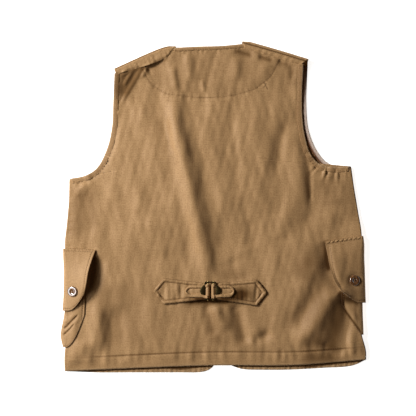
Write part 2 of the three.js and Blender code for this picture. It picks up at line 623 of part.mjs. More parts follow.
// The buckle: an oval plate with a window, and two bars across the window whose ends stand past the plate.
function cinchBuckle() {
  const { width, height, plate, corner } = BUCKLE;
  const outline = new THREE.Shape();
  const flat = width / 2 - corner;
  outline.moveTo(-flat, -height / 2).lineTo(flat, -height / 2);
  outline.quadraticCurveTo(width / 2, -height / 2 + 3, width / 2, 0);
  outline.quadraticCurveTo(width / 2, height / 2 - 3, flat, height / 2);
  outline.lineTo(-flat, height / 2);
  outline.quadraticCurveTo(-width / 2, height / 2 - 3, -width / 2, 0);
  outline.quadraticCurveTo(-width / 2, -height / 2 + 3, -flat, -height / 2);
  const [w, h] = [BUCKLE_WINDOW.width / 2, BUCKLE_WINDOW.height / 2];
  const opening = new THREE.Path().moveTo(-w, -h).lineTo(-w, h).lineTo(w, h).lineTo(w, -h);
  outline.holes.push(opening);
  const body = new THREE.ExtrudeGeometry(outline, { depth: plate, bevelEnabled: false, curveSegments: 7 });
  const bars = [-1, 1].map((side) => {
    const bar = new THREE.CylinderGeometry(BAR_RADIUS, BAR_RADIUS, BAR_LENGTH, 10);
    return bar.translate((side * BAR_SPACING) / 2, 0, barHeight - plateBottom);
  });
  return geometryOf(bars.reduce((solid, bar) => solid.add(solidOf(bar)), solidOf(body)));
}

const vest = new THREE.Group();

function addPiece(name, geometry, finish) {
  const mesh = new THREE.Mesh(geometry, new THREE.MeshStandardMaterial(finish));
  mesh.name = name;
  vest.add(mesh);
  return mesh;
}

const onBack = seatOnBack(addPiece("back_panel", backPanel(), TWILL));
addPiece("neck_binding", neckBinding(onBack), TWILL_EDGE);
for (const hand of ["left", "right"]) {
  const flap = flapSurface(FLAPS[hand]);
  addPiece(`front_panel_${hand}`, frontPanel(FRONTS[hand]), TWILL);
  addPiece(`armhole_binding_${hand}`, armholeBinding(FRONTS[hand].side, onBack), TWILL_EDGE);
  addPiece(`armhole_facing_${hand}`, armholeFacing(FRONTS[hand]), FACING);
  addPiece(`pocket_${hand}`, clothWall(pocketSurface(POCKETS[hand]), sectionShares, shares(9)), TWILL);
  addPiece(`pocket_flap_${hand}`, clothWall(flap, sectionShares, shares(8)), TWILL);
  placeButton(addPiece(`flap_button_${hand}`, button(), HORN), flap, BUTTONS[hand]);
  addPiece(`cinch_strap_${hand}`, strapWall(STRAPS[hand]), TWILL);
}
addPiece("cinch_buckle", cinchBuckle(), BRONZE).position.set(BUCKLE.x, BUCKLE.y, plateBottom);

// The origin is under the middle of the vest, on the floor.
const extent = new THREE.Box3().setFromObject(vest);
const middle = extent.getCenter(vec(0, 0));
vest.position.set(-middle.x, -middle.y, -extent.min.z);

export default vest;
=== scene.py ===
"""Looks of a sleeveless twill work vest that lies flat with its back up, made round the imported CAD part.

+X runs to the right as one looks down on the back, +Y from hem to neck, +Z up. Sizes and places are in
millimetres, in the frame of the part's own outline, and become metres when a mesh is made.
"""

import logging
import math
from collections.abc import Callable, Sequence
from dataclasses import dataclass
from enum import Enum
from typing import Any

import bmesh
import bpy
import numpy as np
from mathutils import Matrix, Vector


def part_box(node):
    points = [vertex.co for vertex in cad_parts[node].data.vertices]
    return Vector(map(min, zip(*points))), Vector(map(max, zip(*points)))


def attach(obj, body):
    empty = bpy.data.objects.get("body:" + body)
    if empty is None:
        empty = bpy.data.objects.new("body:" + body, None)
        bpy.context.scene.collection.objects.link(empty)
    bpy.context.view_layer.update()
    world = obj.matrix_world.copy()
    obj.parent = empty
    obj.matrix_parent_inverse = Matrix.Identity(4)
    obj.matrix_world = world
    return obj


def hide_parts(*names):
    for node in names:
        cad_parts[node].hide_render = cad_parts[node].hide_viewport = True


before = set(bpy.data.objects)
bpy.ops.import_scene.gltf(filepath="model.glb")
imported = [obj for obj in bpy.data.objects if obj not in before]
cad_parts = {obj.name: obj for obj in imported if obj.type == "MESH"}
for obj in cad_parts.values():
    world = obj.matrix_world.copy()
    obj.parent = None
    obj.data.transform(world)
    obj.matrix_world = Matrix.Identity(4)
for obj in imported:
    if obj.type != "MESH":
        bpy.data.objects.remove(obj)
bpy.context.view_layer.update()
log = logging.getLogger("vest")

Array = np.ndarray
Points = tuple[tuple[float, ...], ...]
Surface = Callable[[Array, Array], Array]
Tint = Callable[[Array, Array, Array], Array]
Pair = tuple[float, float]
Colour = tuple[float, float, float, float]
Tree = bpy.types.NodeTree
Socket = bpy.types.NodeSocket
Material = bpy.types.Material
Piece = bpy.types.Object
Shape = bmesh.types.BMesh

# Driving sizes
MM = 0.001
CLOTH = 1.6
SEAM_GAP = 0.3
LAYER = CLOTH + SEAM_GAP
HEM_DEPTH = 27.0
CROWN_HEIGHT = 11.5
EDGE_ROUND = 85.0
FOLD_EDGE = 26.0
SHOULDER_ROLL = 6.6
SHOULDER_BULGE = 5.1
POCKET_LIFT = 4.1
POCKET_BULGE = 2.6
STITCH_INSET = 5.5
STRAP_INSET = 6.4
FRONT_REACH = 118.0
BINDING_WIDTH = 9.0
NECK_BINDING_WIDTH = 6.0
BUCKLE_PLACE = (-6.0, -168.0)
UNDERARM = 0.6
ARMHOLE_PACE = 0.82
NECK_START = 0.34
NECK_END = 0.69
FRONT_SEAM_SHARE = 0.66
LIFT_FROM = 90.0
LIFT_FULL = 150.0
STITCH_RISE = 0.1
ENDLESS = 1e6  # stretch of ripples that vary one way only
WAVE_UNIT = 20.0  # radians to a unit of the wave texture

# The part is centred on its own box, so the buckle's place gives the way from outline to frame.
_buckle_low, _buckle_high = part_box("cinch_buckle")
SHIFT = np.array([
    (_buckle_low.x + _buckle_high.x) / 2 - BUCKLE_PLACE[0] * MM,
    (_buckle_low.y + _buckle_high.y) / 2 - BUCKLE_PLACE[1] * MM,
    0.0,
])


class Side(Enum):
    """A half of the vest, as one looks at the back."""

    LEFT = -1
    RIGHT = 1

    @property
    def word(self) -> str:
        """The side's name in lower case."""
        return self.name.lower()


def ease(value: Array, low: float, high: float) -> Array:
    """A smooth step from 0 at low to 1 at high."""
    share = np.clip((value - low) / (high - low), 0.0, 1.0)
    return share * share * (3.0 - 2.0 * share)


def blend(start: Array, end: Array, share: Array) -> Array:
    """The value that lies a share of the way from start to end."""
    return start + (end - start) * share


def bell(value: Array, width: float) -> Array:
    """A round bump: 1 where the value is 0, falling to 0 on both sides over about the width."""
    return np.exp(-(value / width) ** 2)


def kept_above(low: Array, value: Array) -> Array:
    """The value, kept above low with a soft turn."""
    clear = value - low
    return low + (clear + np.sqrt(clear ** 2 + 1.0)) / 2


def joined(*columns: Array) -> Array:
    """These columns side by side, such as x, y and z as places."""
    return np.stack(columns, axis=-1)


def evenly(count: int) -> Array:
    """This many even steps from 0 to 1, both ends included."""
    return np.linspace(0, 1, count)


def linear(colour: str) -> Colour:
    """Turns an sRGB hex colour such as "a6855d" into linear red, green, blue and alpha."""
    channels = [int(colour[i:i + 2], 16) / 255 for i in (0, 2, 4)]
    return (*[c / 12.92 if c <= 0.04045 else ((c + 0.055) / 1.055) ** 2.4 for c in channels], 1.0)


class Line:
    """A smooth line through given points, gone along by its length."""

    def __init__(self, points: Points, spacing: float = 3.0) -> None:
        """Runs a centripetal curve through the points and samples it evenly.

        Args:
            points: Two or more places, with or without a height.
            spacing: Distance between samples.
        """
        curve = self._curve(np.array([(*p, 0.0)[:3] for p in points], float))
        steps = np.linalg.norm(np.diff(curve, axis=0), axis=1)
        self._way = np.concatenate([[0.0], np.cumsum(steps)])
        self._curve_points = curve
        self.length = float(self._way[-1])
        self.samples = self.at(evenly(max(8, int(self.length / spacing))))
        along = np.gradient(self.samples[:, :2], axis=0)
        self.tangents = along / np.linalg.norm(along, axis=1, keepdims=True)

    @staticmethod
    def _curve(points: Array, steps: int = 24) -> Array:
        """Points close together on a centripetal curve through the given ones."""
        ends = [2 * points[0] - points[1], *points, 2 * points[-1] - points[-2]]
        pieces = []
        for p0, p1, p2, p3 in zip(ends, ends[1:], ends[2:], ends[3:]):
            t1 = np.linalg.norm(p1 - p0) ** 0.5
            t2 = t1 + np.linalg.norm(p2 - p1) ** 0.5
            t3 = t2 + np.linalg.norm(p3 - p2) ** 0.5
            t = np.linspace(t1, t2, steps, endpoint=False)[:, None]
            a1 = p0 + (p1 - p0) * t / t1
            a2 = p1 + (p2 - p1) * (t - t1) / (t2 - t1)
            a3 = p2 + (p3 - p2) * (t - t2) / (t3 - t2)
            b1 = a1 + (a2 - a1) * t / t2
            b2 = a2 + (a3 - a2) * (t - t1) / (t3 - t1)
            pieces.append(b1 + (b2 - b1) * (t - t1) / (t2 - t1))
        return np.concatenate([*pieces, points[-1:]])

    def at(self, share: Array) -> Array:
        """Places at these shares of the line's length."""
        way = np.clip(share, 0, 1) * self.length
        return np.stack([np.interp(way, self._way, self._curve_points[:, i]) for i in range(3)], axis=-1)

    def beside(self, x: Array, y: Array) -> tuple[Array, Array, Array]:
        """Finds where places lie in relation to the line.

        Args:
            x: Places across.
            y: Places up the back.

        Returns:
            Distance along the line, distance beside it (above zero on the left as one goes along) and the
            index of the nearest sample.
        """
        gap = (x[:, None] - self.samples[:, 0]) ** 2 + (y[:, None] - self.samples[:, 1]) ** 2
        nearest = gap.argmin(axis=1)
        off = np.stack([x, y], axis=-1) - self.samples[nearest, :2]
        tangent = self.tangents[nearest]
        ahead = (off * tangent).sum(axis=1)
        step = self.length / (len(self.samples) - 1)
        across = off[:, 1] * tangent[:, 0] - off[:, 0] * tangent[:, 1]
        return nearest * step + ahead, across, nearest


class Chain:
    """An outline made of several lines, gone along from 0 to 1."""

    def __init__(self, *stretches: tuple[Line, float, float]) -> None:
        """Takes each line with the share of the way at which it ends and the pace along it."""
        self._stretches = stretches

    def at(self, share: Array) -> Array:
        """Places at these shares of the outline."""
        share = np.asarray(share, float)
        place = np.zeros((*share.shape, 3))
        start = 0.0
        for line, end, pace in self._stretches:
            here = (share >= start) & (share <= end + 1e-9)
            part = np.clip((share[here] - start) / (end - start), 0, 1)
            place[here] = line.at(part ** pace)
            start = end
        return place


class Patch:
    """A plan spanned between four outlines: bottom and top run across, left and right run upwards."""

    def __init__(self, bottom: Chain, top: Chain, left: Chain, right: Chain) -> None:
        """Takes the four outlines, which meet at the corners."""
        self._edges = (bottom, top, left, right)
        ends = np.array([0.0, 1.0])
        self._corners = np.concatenate([bottom.at(ends), top.at(ends)])

    def at(self, u: Array, v: Array) -> Array:
        """Places at shares u across and v upwards."""
        bottom, top, left, right = (edge.at(s) for edge, s in zip(self._edges, (u, u, v, v)))
        u, v = u[:, None], v[:, None]
        c = self._corners
        ruled = bottom * (1 - v) + top * v + left * (1 - u) + right * u
        return ruled - c[0] * (1 - u) * (1 - v) - c[1] * u * (1 - v) - c[2] * (1 - u) * v - c[3] * u * v


@dataclass(frozen=True)
class Half:
    """Outlines of one half: side seam, armhole and shoulder of the back, and the front under it.

    strip is how far the front reaches over the shoulder onto the back, crease where the seam shows on its
    roll, as a share of it, slant how far the strip's outer end is cut back, fold_edge how near folds come to
    the armhole, taper where the strip begins to narrow towards the neck, start its share of width at the
    armhole, and gapes where its sewn edge stands up, with the spread.
    """

    side: Points
    armhole: Points
    shoulder: Points
    front_hem: Points
    front_edge: Points
    front_v: Points
    front_armhole: Points
    fold: Points
    strip: float
    crease: float
    slant: float
    fold_edge: float
    taper: float
    start: float
    gapes: tuple[Pair, ...]


HALVES = {
    Side.LEFT: Half(
        side=((-297.5, -329), (-297.5, -298), (-291.5, -240), (-291.5, -130), (-297, -76), (-293, -35),
              (-289, 13), (-288, 54)),
        armhole=((-288, 54, 3.6), (-256, 60.5, 4.5), (-232, 76, 6), (-212, 113, 9), (-201.5, 157, 10),
                 (-199, 205, 11), (-196.5, 266, 12)),
        shoulder=((-196.5, 266, 12), (-102, 306, 12), (-78, 315.5, 12)),
        front_hem=((-297.5, -329), (-233, -331.5), (-159, -331.5), (-57, -331.5), (-33, -331.5),
                   (-14, -328.5), (-2, -321), (6, -307), (9, -290)),
        front_edge=((9, -290), (9, 90)),
        front_v=((9, 90), (-48, 230), (-75, 318)),
        front_armhole=((-288, 54), (-250, 57), (-226, 76), (-205, 113), (-194, 160), (-192, 210),
                       (-196.5, 270)),
        fold=((-196.5, 270), (-104, 310.5), (-75, 318)),
        strip=17.0, crease=0.75, slant=0.0, fold_edge=18.0, taper=0.78, start=0.45,
        gapes=((0.12, 0.05), (0.5, 0.1)),
    ),
    Side.RIGHT: Half(
        side=((305, -306), (304.5, -288), (297, -260), (289.5, -225), (290, -110), (296, -60), (289, -11),
              (281, 37), (275, 79.5)),
        armhole=((275, 79.5, 3.6), (243, 78, 4.4), (213, 83, 5), (193, 104, 5), (179, 154, 5),
                 (175.5, 210, 5.5), (178, 285, 12)),
        shoulder=((60, 323.5, 12), (120, 305, 12), (178, 285, 12)),
        front_hem=((305, -306), (277, -318), (219, -322.5), (153, -326), (109, -326.5), (56, -324.5),
                   (37, -318), (19, -306), (12, -286)),
        front_edge=((12, -286), (12, 90)),
        front_v=((12, 90), (50, 230), (57, 327.5)),
        front_armhole=((275, 79.5), (243, 81), (224, 90), (206.5, 112), (195, 137), (188.5, 162),
                       (185.5, 212), (186.5, 245), (188.5, 289)),
        fold=((188.5, 289), (126, 308), (57, 327.5)),
        strip=11.0, crease=1.0, slant=0.08, fold_edge=22.0, taper=0.93, start=1.0, gapes=(),
    ),
}
BACK_HEM: Points = (
    (-297.5, -329, 3.6), (-158, -323, 3.8), (0, -317.5, 3.8), (163, -317, 3.8), (305, -306, 3.6)
)
BACK_NECK: Points = ((-78, 315.5, 12), (-40, 317.5, 13), (20, 319.5, 13), (60, 323.5, 12))
# The half-moon seam below the neck
YOKE: Points = (
    (-147, 285), (-125, 246), (-111.6, 235.6), (-93, 225), (-71.4, 222.2), (-45, 218.4), (-5, 218),
    (35, 221.2), (64.4, 229), (83.6, 235.6), (98.8, 247), (114.2, 260.4), (131.4, 292),
)


@dataclass(frozen=True)
class Lift:
    """Where a pocket under a front lifts it: over a stretch of y on one side."""

    side: Side
    foot: float
    full_from: float
    full_to: float
    top: float


LIFTS = (Lift(Side.LEFT, -328, -292, -92, -34), Lift(Side.RIGHT, -310, -268, -66, -8))


def front_height(x: Array, y: Array) -> Array:
    """Height of the fronts' middle: flat on the floor, lifted where a pocket lies under them."""
    lifts = [
        ease(y, lift.foot, lift.full_from) * (1 - ease(y, lift.full_to, lift.top))
        * ease(lift.side.value * x, LIFT_FROM, LIFT_FULL)
        for lift in LIFTS
    ]
    return CLOTH / 2 + POCKET_LIFT * np.maximum(*lifts)


class Ripples:
    """Soft unevenness of cloth: crossing waves with seeded directions and phases."""

    def __init__(
        self, seed: int, height: float, length: float, stretch: float = 1.0, count: int = 18
    ) -> None:
        """Draws the waves.

        Args:
            seed: Seed of the draw.
            height: Root mean square height.
            length: Typical wave length across.
            stretch: How many times longer the waves are along y.
            count: Number of waves.
        """
        draw = np.random.default_rng(seed)
        angle = draw.uniform(0, math.pi, count)
        number = 2 * math.pi / (length * draw.uniform(0.6, 1.7, count))
        self._waves = np.stack([np.cos(angle) * number, np.sin(angle) * number / stretch])
        self._phase = draw.uniform(0, 2 * math.pi, count)
        self._height = height * math.sqrt(2 / count)

    def at(self, x: Array, y: Array) -> Array:
        """Height at each place."""
        return self._height * np.sin(joined(x, y) @ self._waves + self._phase).sum(axis=-1)


def gathers(along: Array, seed: int, height: float, length: float, count: int = 7) -> Array:
    """Small gathers along a seam, as heights of ripples with this seed, height, length and count."""
    return Ripples(seed, height, length, stretch=ENDLESS, count=count).at(along, np.zeros_like(along))


@dataclass(frozen=True)
class Fold:
    """A ridge of cloth along a line that runs down the back; a hollow has a height below zero.

    left and right are how far it reaches to each side, and ends is the share of its length over which it
    rises and dies away.
    """

    line: Points
    left: float
    right: float
    height: float
    ends: float = 0.28

    def rise(self, x: Array, y: Array) -> Array:
        """Height that the fold adds at each place."""
        line = Line(self.line)
        along, across, _ = line.beside(x, y)
        share = along / line.length
        reach = np.where(across < 0, self.left, self.right)
        fade = ease(share, 0, self.ends) * (1 - ease(share, 1 - self.ends, 1))
        return self.height * fade * bell(across, reach)


@dataclass(frozen=True)
class Seam:
    """A sewn line that draws the cloth in: a groove with small puckers across it."""

    line: Points
    depth: float = 0.7
    width: float = 2.4
    pucker: float = 0.35
    reach: float = 8.0
    pitch: float = 11.0
    seed: int = 1

    def rise(self, x: Array, y: Array) -> Array:
        """Height that the seam adds at each place."""
        line = Line(self.line)
        along, across, _ = line.beside(x, y)
        inside = ease(along, -2, 4) * (1 - ease(along, line.length - 4, line.length + 2))
        gather = gathers(along, self.seed, self.pucker, self.pitch)
        return inside * (gather * bell(across, self.reach) - self.depth * bell(across, self.width))


# Folds of the back: a line that runs downwards, reach to left and right, height, and share of the ends
FOLDS = (
    # The long fold from the half-moon seam to the buckle, the broad swell under it and the hollows beside it
    Fold(((-86, 250), (-81, 213), (-74, 163), (-64, 113), (-54, 63), (-43, 13), (-33, -37), (-21, -87),
          (-8, -143), (-3, -162)), 16, 18, 9.8, 0.2),
    Fold(((-80, 215), (-54, 60), (-22, -100)), 140, 128, 10.0, 0.35),
    Fold(((-236, 60), (-236, -10), (-240, -90)), 40, 50, -2.6, 0.35),
    Fold(((-270, 48), (-272, -20), (-277, -84)), 26, 40, 3.2, 0.3),
    Fold(((-71, 30), (-62, -20), (-52, -77), (-42, -130)), 12, 12, -1.0),
    Fold(((-126, -16), (-122, -60), (-120, -108)), 22, 30, 3.2),
    Fold(((44, 40), (48, -15), (50, -70)), 22, 36, 1.3),
    Fold(((99, 150), (99, 60), (97, -60)), 26, 30, 1.6),
    Fold(((-45, 188), (-34, 143), (-23, 93), (-11, 33), (-1, -17)), 12, 13, -1.2),
    # Upper left, where the strip over the shoulder draws the cloth in
    Fold(((-147, 279), (-163, 252), (-176, 230), (-189, 206)), 17, 2.6, -1.8, 0.1),
    Fold(((-143, 276), (-159, 250), (-172, 228), (-184, 206)), 2.4, 6, 1.4, 0.2),
    Fold(((-158, 276), (-171, 256), (-181, 238)), 3, 4, 2.6, 0.25),
    Fold(((-97, 300), (-116, 288), (-138, 274)), 9, 14, -5.4, 0.16),
    Fold(((-128, 288), (-136, 272), (-146, 256)), 4, 4, 2.6, 0.25),
    Fold(((-98, 312), (-97, 300), (-101, 286)), 3, 3, 2.4, 0.25),
    Fold(((-147, 216), (-150, 184), (-151, 150)), 14, 14, 1.6),
    Fold(((-104, 186), (-93, 143), (-84, 100)), 9, 8, -3.0),
    # Above the half-moon seam
    Fold(((-84, 284), (-78, 256), (-76, 228)), 9, 7, 3.4),
    Fold(((-55, 310), (-50, 282), (-42, 244)), 8, 12, 3.0),
    Fold(((-24, 252), (-20, 238), (-19, 226)), 4, 4, 1.6),
    Fold(((-7, 302), (-8, 270), (-7, 238)), 10, 10, -1.5),
    Fold(((48, 302), (46, 276), (43, 248)), 10, 10, 2.0),
    Fold(((105, 292), (96, 266), (86, 240)), 10, 10, 1.6),
    Fold(((150, 296), (152, 240), (155, 190)), 70, 25, -2.8, 0.4),
    Fold(((38, 314), (58, 309), (80, 302)), 8, 7, -2.0, 0.25),
    Fold(((88, 301), (103, 297), (120, 292)), 7, 6, -1.8, 0.25),
    Fold(((128, 292), (140, 289), (154, 284)), 7, 6, -1.8, 0.25),
    Fold(((152, 284), (156, 268), (158, 250)), 6, 8, -1.7),
    # Right of the long fold
    Fold(((33, 216), (41, 133), (53, 28)), 10, 9, -1.9),
    Fold(((78, 176), (85, 120), (86, 60), (85, -16)), 22, 26, 1.7),
    Fold(((128, -10), (130, -40), (132, -70)), 18, 14, 2.0),
    Fold(((157, 190), (145, 162), (134, 124), (128, 84), (124, 40)), 13, 13, -4.8, 0.3),
    Fold(((161, 146), (167, 90), (169, 50), (161, 3), (143, -31), (103, -67)), 18, 19, 3.4, 0.3),
    Fold(((186, 98), (192, 70), (194, 36), (195, 2)), 8, 3, -1.9, 0.2),
    Fold(((198, 92), (202, 66), (203, 28)), 4, 9, 1.6),
    Fold(((232, 66), (236, 40), (240, 10)), 22, 20, -2.6, 0.3),
    Fold(((195, 96), (195, 33), (197, -17), (171, -47)), 14, 24, -4.0),
    Fold(((72, -22), (73, -55), (73, -88)), 12, 12, -2.4),
    # Lower right
    Fold(((256, -10), (258, -60), (256, -112)), 46, 22, -3.0, 0.35),
    Fold(((217, -90), (193, -137), (163, -197), (140, -229)), 26, 13, 3.6),
    Fold(((224, -66), (227, -96), (234, -126), (244, -150), (256, -174)), 14, 8, -5.0, 0.15),
    Fold(((213, -158), (189, -203), (163, -250)), 13, 14, -2.6),
    Fold(((245, -154), (224, -197), (205, -231), (181, -257), (152, -275)), 19, 16, 7.0, 0.2),
    Fold(((262, -160), (256, -220), (244, -300)), 55, 34, 4.0, 0.25),
    Fold(((276, -174), (272, -212), (262, -257), (246, -310)), 30, 10, -8.0, 0.18),
    Fold(((118, -248), (98, -261), (76, -270)), 10, 10, -4.0),
    Fold(((225, -266), (223, -288), (222, -312)), 6, 5, -1.6),
    Fold(((262, -252), (266, -276), (268, -302)), 5, 5, -2.0),
    # Above and under the cinch
    Fold(((34, -98), (48, -130), (60, -158)), 24, 32, -2.8),
    Fold(((2, -192), (15, -227), (28, -252)), 9, 10, 4.0),
    Fold(((39, -190), (52, -230), (65, -280)), 13, 13, -6.5, 0.2),
    Fold(((-14, -190), (-6, -226), (3, -262)), 11, 8, -4.6, 0.2),
    # Left
    Fold(((-228, -184), (-229, -240), (-231, -297)), 22, 12, 5.0),
    Fold(((-262, -262), (-264, -296), (-266, -324)), 20, 16, 4.0, 0.3),
    Fold(((-191, -190), (-195, -257), (-193, -314)), 15, 24, -4.6),
    Fold(((-229, -94), (-231, -130), (-233, -172)), 10, 14, -3.8),
    Fold(((-197, 54), (-198, 30), (-197, 6)), 12, 12, 1.5),
    Fold(((-151, 44), (-152, 12), (-151, -18)), 11, 11, 1.6),
    Fold(((-111, 64), (-112, 30), (-111, -4)), 14, 14, -1.6),
    Fold(((-253, 50), (-270, 30), (-280, 14)), 6, 7, 3.0),
    Fold(((-238, 56), (-252, 38), (-262, 18)), 6, 6, 1.6),
    Fold(((-247, 40), (-247, -10), (-251, -72)), 18, 14, -3.2),
    Fold(((-118, -176), (-118, -226), (-120, -306)), 18, 24, 2.2, 0.25),
    # Small gathers at the hem and beside the cinch
    Fold(((-96, -150), (-101, -172), (-104, -196)), 5, 6, -1.8),
    Fold(((-183, -284), (-182, -298), (-181, -312)), 5, 5, -1.6),
    Fold(((136, -280), (136, -295), (137, -310)), 5, 5, -1.6),
)
# Painted shade in the deep folds and in the shadows, given like folds, with the share of the dark colour as
# height
PAINTED_SHADE_FOLDS = (
    # Beside the right pocket and below it
    Fold(((221, -64), (223, -88), (226, -110), (231, -132)), 5, 9, 0.66, 0.12),
    Fold(((260, -178), (253, -212), (243, -250), (233, -294)), 23, 17, 0.76, 0.13),
    Fold(((198, -70), (184, -110), (170, -154)), 14, 14, 0.32, 0.25),
    Fold(((226, -266), (202, -271), (168, -276)), 20, 11, 0.5, 0.3),
    Fold(((262, -299), (222, -302), (166, -300)), 14, 14, 0.64, 0.25),
    Fold(((230, -68), (225, -100), (218, -132)), 17, 14, 0.28, 0.25),
    Fold(((200, -80), (206, -170), (196, -262)), 34, 38, 0.35, 0.2),
    Fold(((166, -150), (157, -210), (150, -256)), 12, 12, 0.18, 0.25),
    # Right side and shoulder
    Fold(((230, 70), (234, 34), (238, -10)), 38, 25, 0.26, 0.3),
    Fold(((160, 288), (160, 262), (160, 232)), 24, 18, 0.23, 0.3),
    Fold(((38, 312), (58, 307), (80, 300)), 6, 5, 0.6, 0.2),
    Fold(((88, 299), (103, 295), (120, 290)), 5, 5, 0.56, 0.2),
    Fold(((126, 289), (140, 285), (156, 280)), 6, 6, 0.42, 0.2),
    Fold(((154, 284), (157, 268), (158, 250)), 6, 5, 0.12, 0.3),
    # Left side and shoulder
    Fold(((-200, -140), (-186, -200), (-186, -290)), 42, 40, 0.22, 0.2),
    Fold(((-226, -96), (-224, -160), (-222, -236)), 10, 14, 0.2, 0.25),
    Fold(((-236, -92), (-241, -130), (-247, -176)), 6, 12, 0.62, 0.15),
    Fold(((-216, 96), (-230, 72), (-262, 52)), 8, 8, 0.32, 0.25),
    Fold(((-240, 50), (-240, 0), (-240, -62)), 9, 9, 0.22, 0.3),
    Fold(((-268, 52), (-276, -10), (-284, -76)), 16, 24, 0.4, 0.25),
    Fold(((-122, 302), (-154, 252), (-167, 230), (-184, 200)), 50, 3.0, 0.76, 0.25),
    Fold(((-96, 300), (-114, 288), (-134, 276)), 8, 10, 0.5, 0.2),
    Fold(((-92, 200), (-89, 140), (-84, 74)), 7, 7, 0.2, 0.3),
    # Round the cinch
    Fold(((-99, -150), (-99, -176), (-98, -204)), 6, 6, 0.42, 0.3),
    Fold(((6, -134), (40, -138), (78, -142)), 12, 16, 0.3, 0.25),
    Fold(((-200, -212), (0, -222), (160, -216)), 62, 58, 0.07, 0.2),
    Fold(((44, -196), (50, -238), (56, -288)), 11, 10, 0.44, 0.22),
    Fold(((-4, -196), (0, -240), (8, -286)), 16, 15, 0.3, 0.25),
    Fold(((-72, -190), (-30, -186), (16, -186), (52, -191)), 10, 5, 1.2, 0.25),
    # Painted shade is a little lighter beside the long fold
    Fold(((40, 120), (46, 20), (50, -80)), 50, 45, -0.06, 0.3),
    Fold(((-86, 10), (-90, -40), (-96, -100)), 40, 40, -0.05, 0.3),
)
# Shade under the flaps and along the right pocket's sewn edge, on the back and on the pockets alike
POCKET_SHADE = (
    Fold(((-266, -192), (-284, -202), (-301, -212)), 6, 6, 0.5, 0.1),
    Fold(((247, -172), (262, -182), (292, -192)), 8, 12, 0.92, 0.08),
    Fold(((255, -168), (261, -201), (279.6, -230), (298, -256)), 2.6, 2.2, 0.85, 0.1),
)


def painted_shade(places: Array) -> Array:
    """Share of the painted shade at each place."""
    return sum(fold.rise(places[:, 0], places[:, 1]) for fold in (*PAINTED_SHADE_FOLDS, *POCKET_SHADE))


# Seams of the back: half-moon, armholes with their gathers, a cross seam on the right, left side and neck
SEAMS = (
    Seam(YOKE, depth=0.6, width=1.7, pucker=0.3, seed=4),
    Seam(((-284, 46), (-254, 52), (-226, 70), (-205, 111), (-194, 157), (-191, 205), (-189, 262)), depth=0.15,
         width=1.8, pucker=0.25, reach=6, pitch=9, seed=6),
    Seam(((272, 71), (243, 70), (209, 76), (187, 101), (172, 153), (168, 210), (170, 280)), depth=0.4,
         width=1.8, pucker=0.25, reach=6, pitch=9, seed=7),
    Seam(((274, 67), (243, 65), (216, 70), (200, 82)), depth=0.0, pucker=0.9, reach=11, pitch=8, seed=9),
    Seam(((-282, 42), (-256, 46), (-236, 58)), depth=0.0, pucker=0.6, reach=10, pitch=12, seed=10),
    Seam(((93, 4), (190, 3), (288, 5)), depth=0.35, width=1.8, pucker=0.0),
    Seam(((-288, 34), (-286, -10), (-288, -60), (-286, -84)), depth=0.6, width=1.8, pucker=0.5, reach=7,
         seed=13),
    Seam(((-76, 308), (-40, 311), (20, 313), (58, 316)), depth=0.4, width=1.6, pucker=0.3, reach=6, pitch=9,
         seed=11),
)


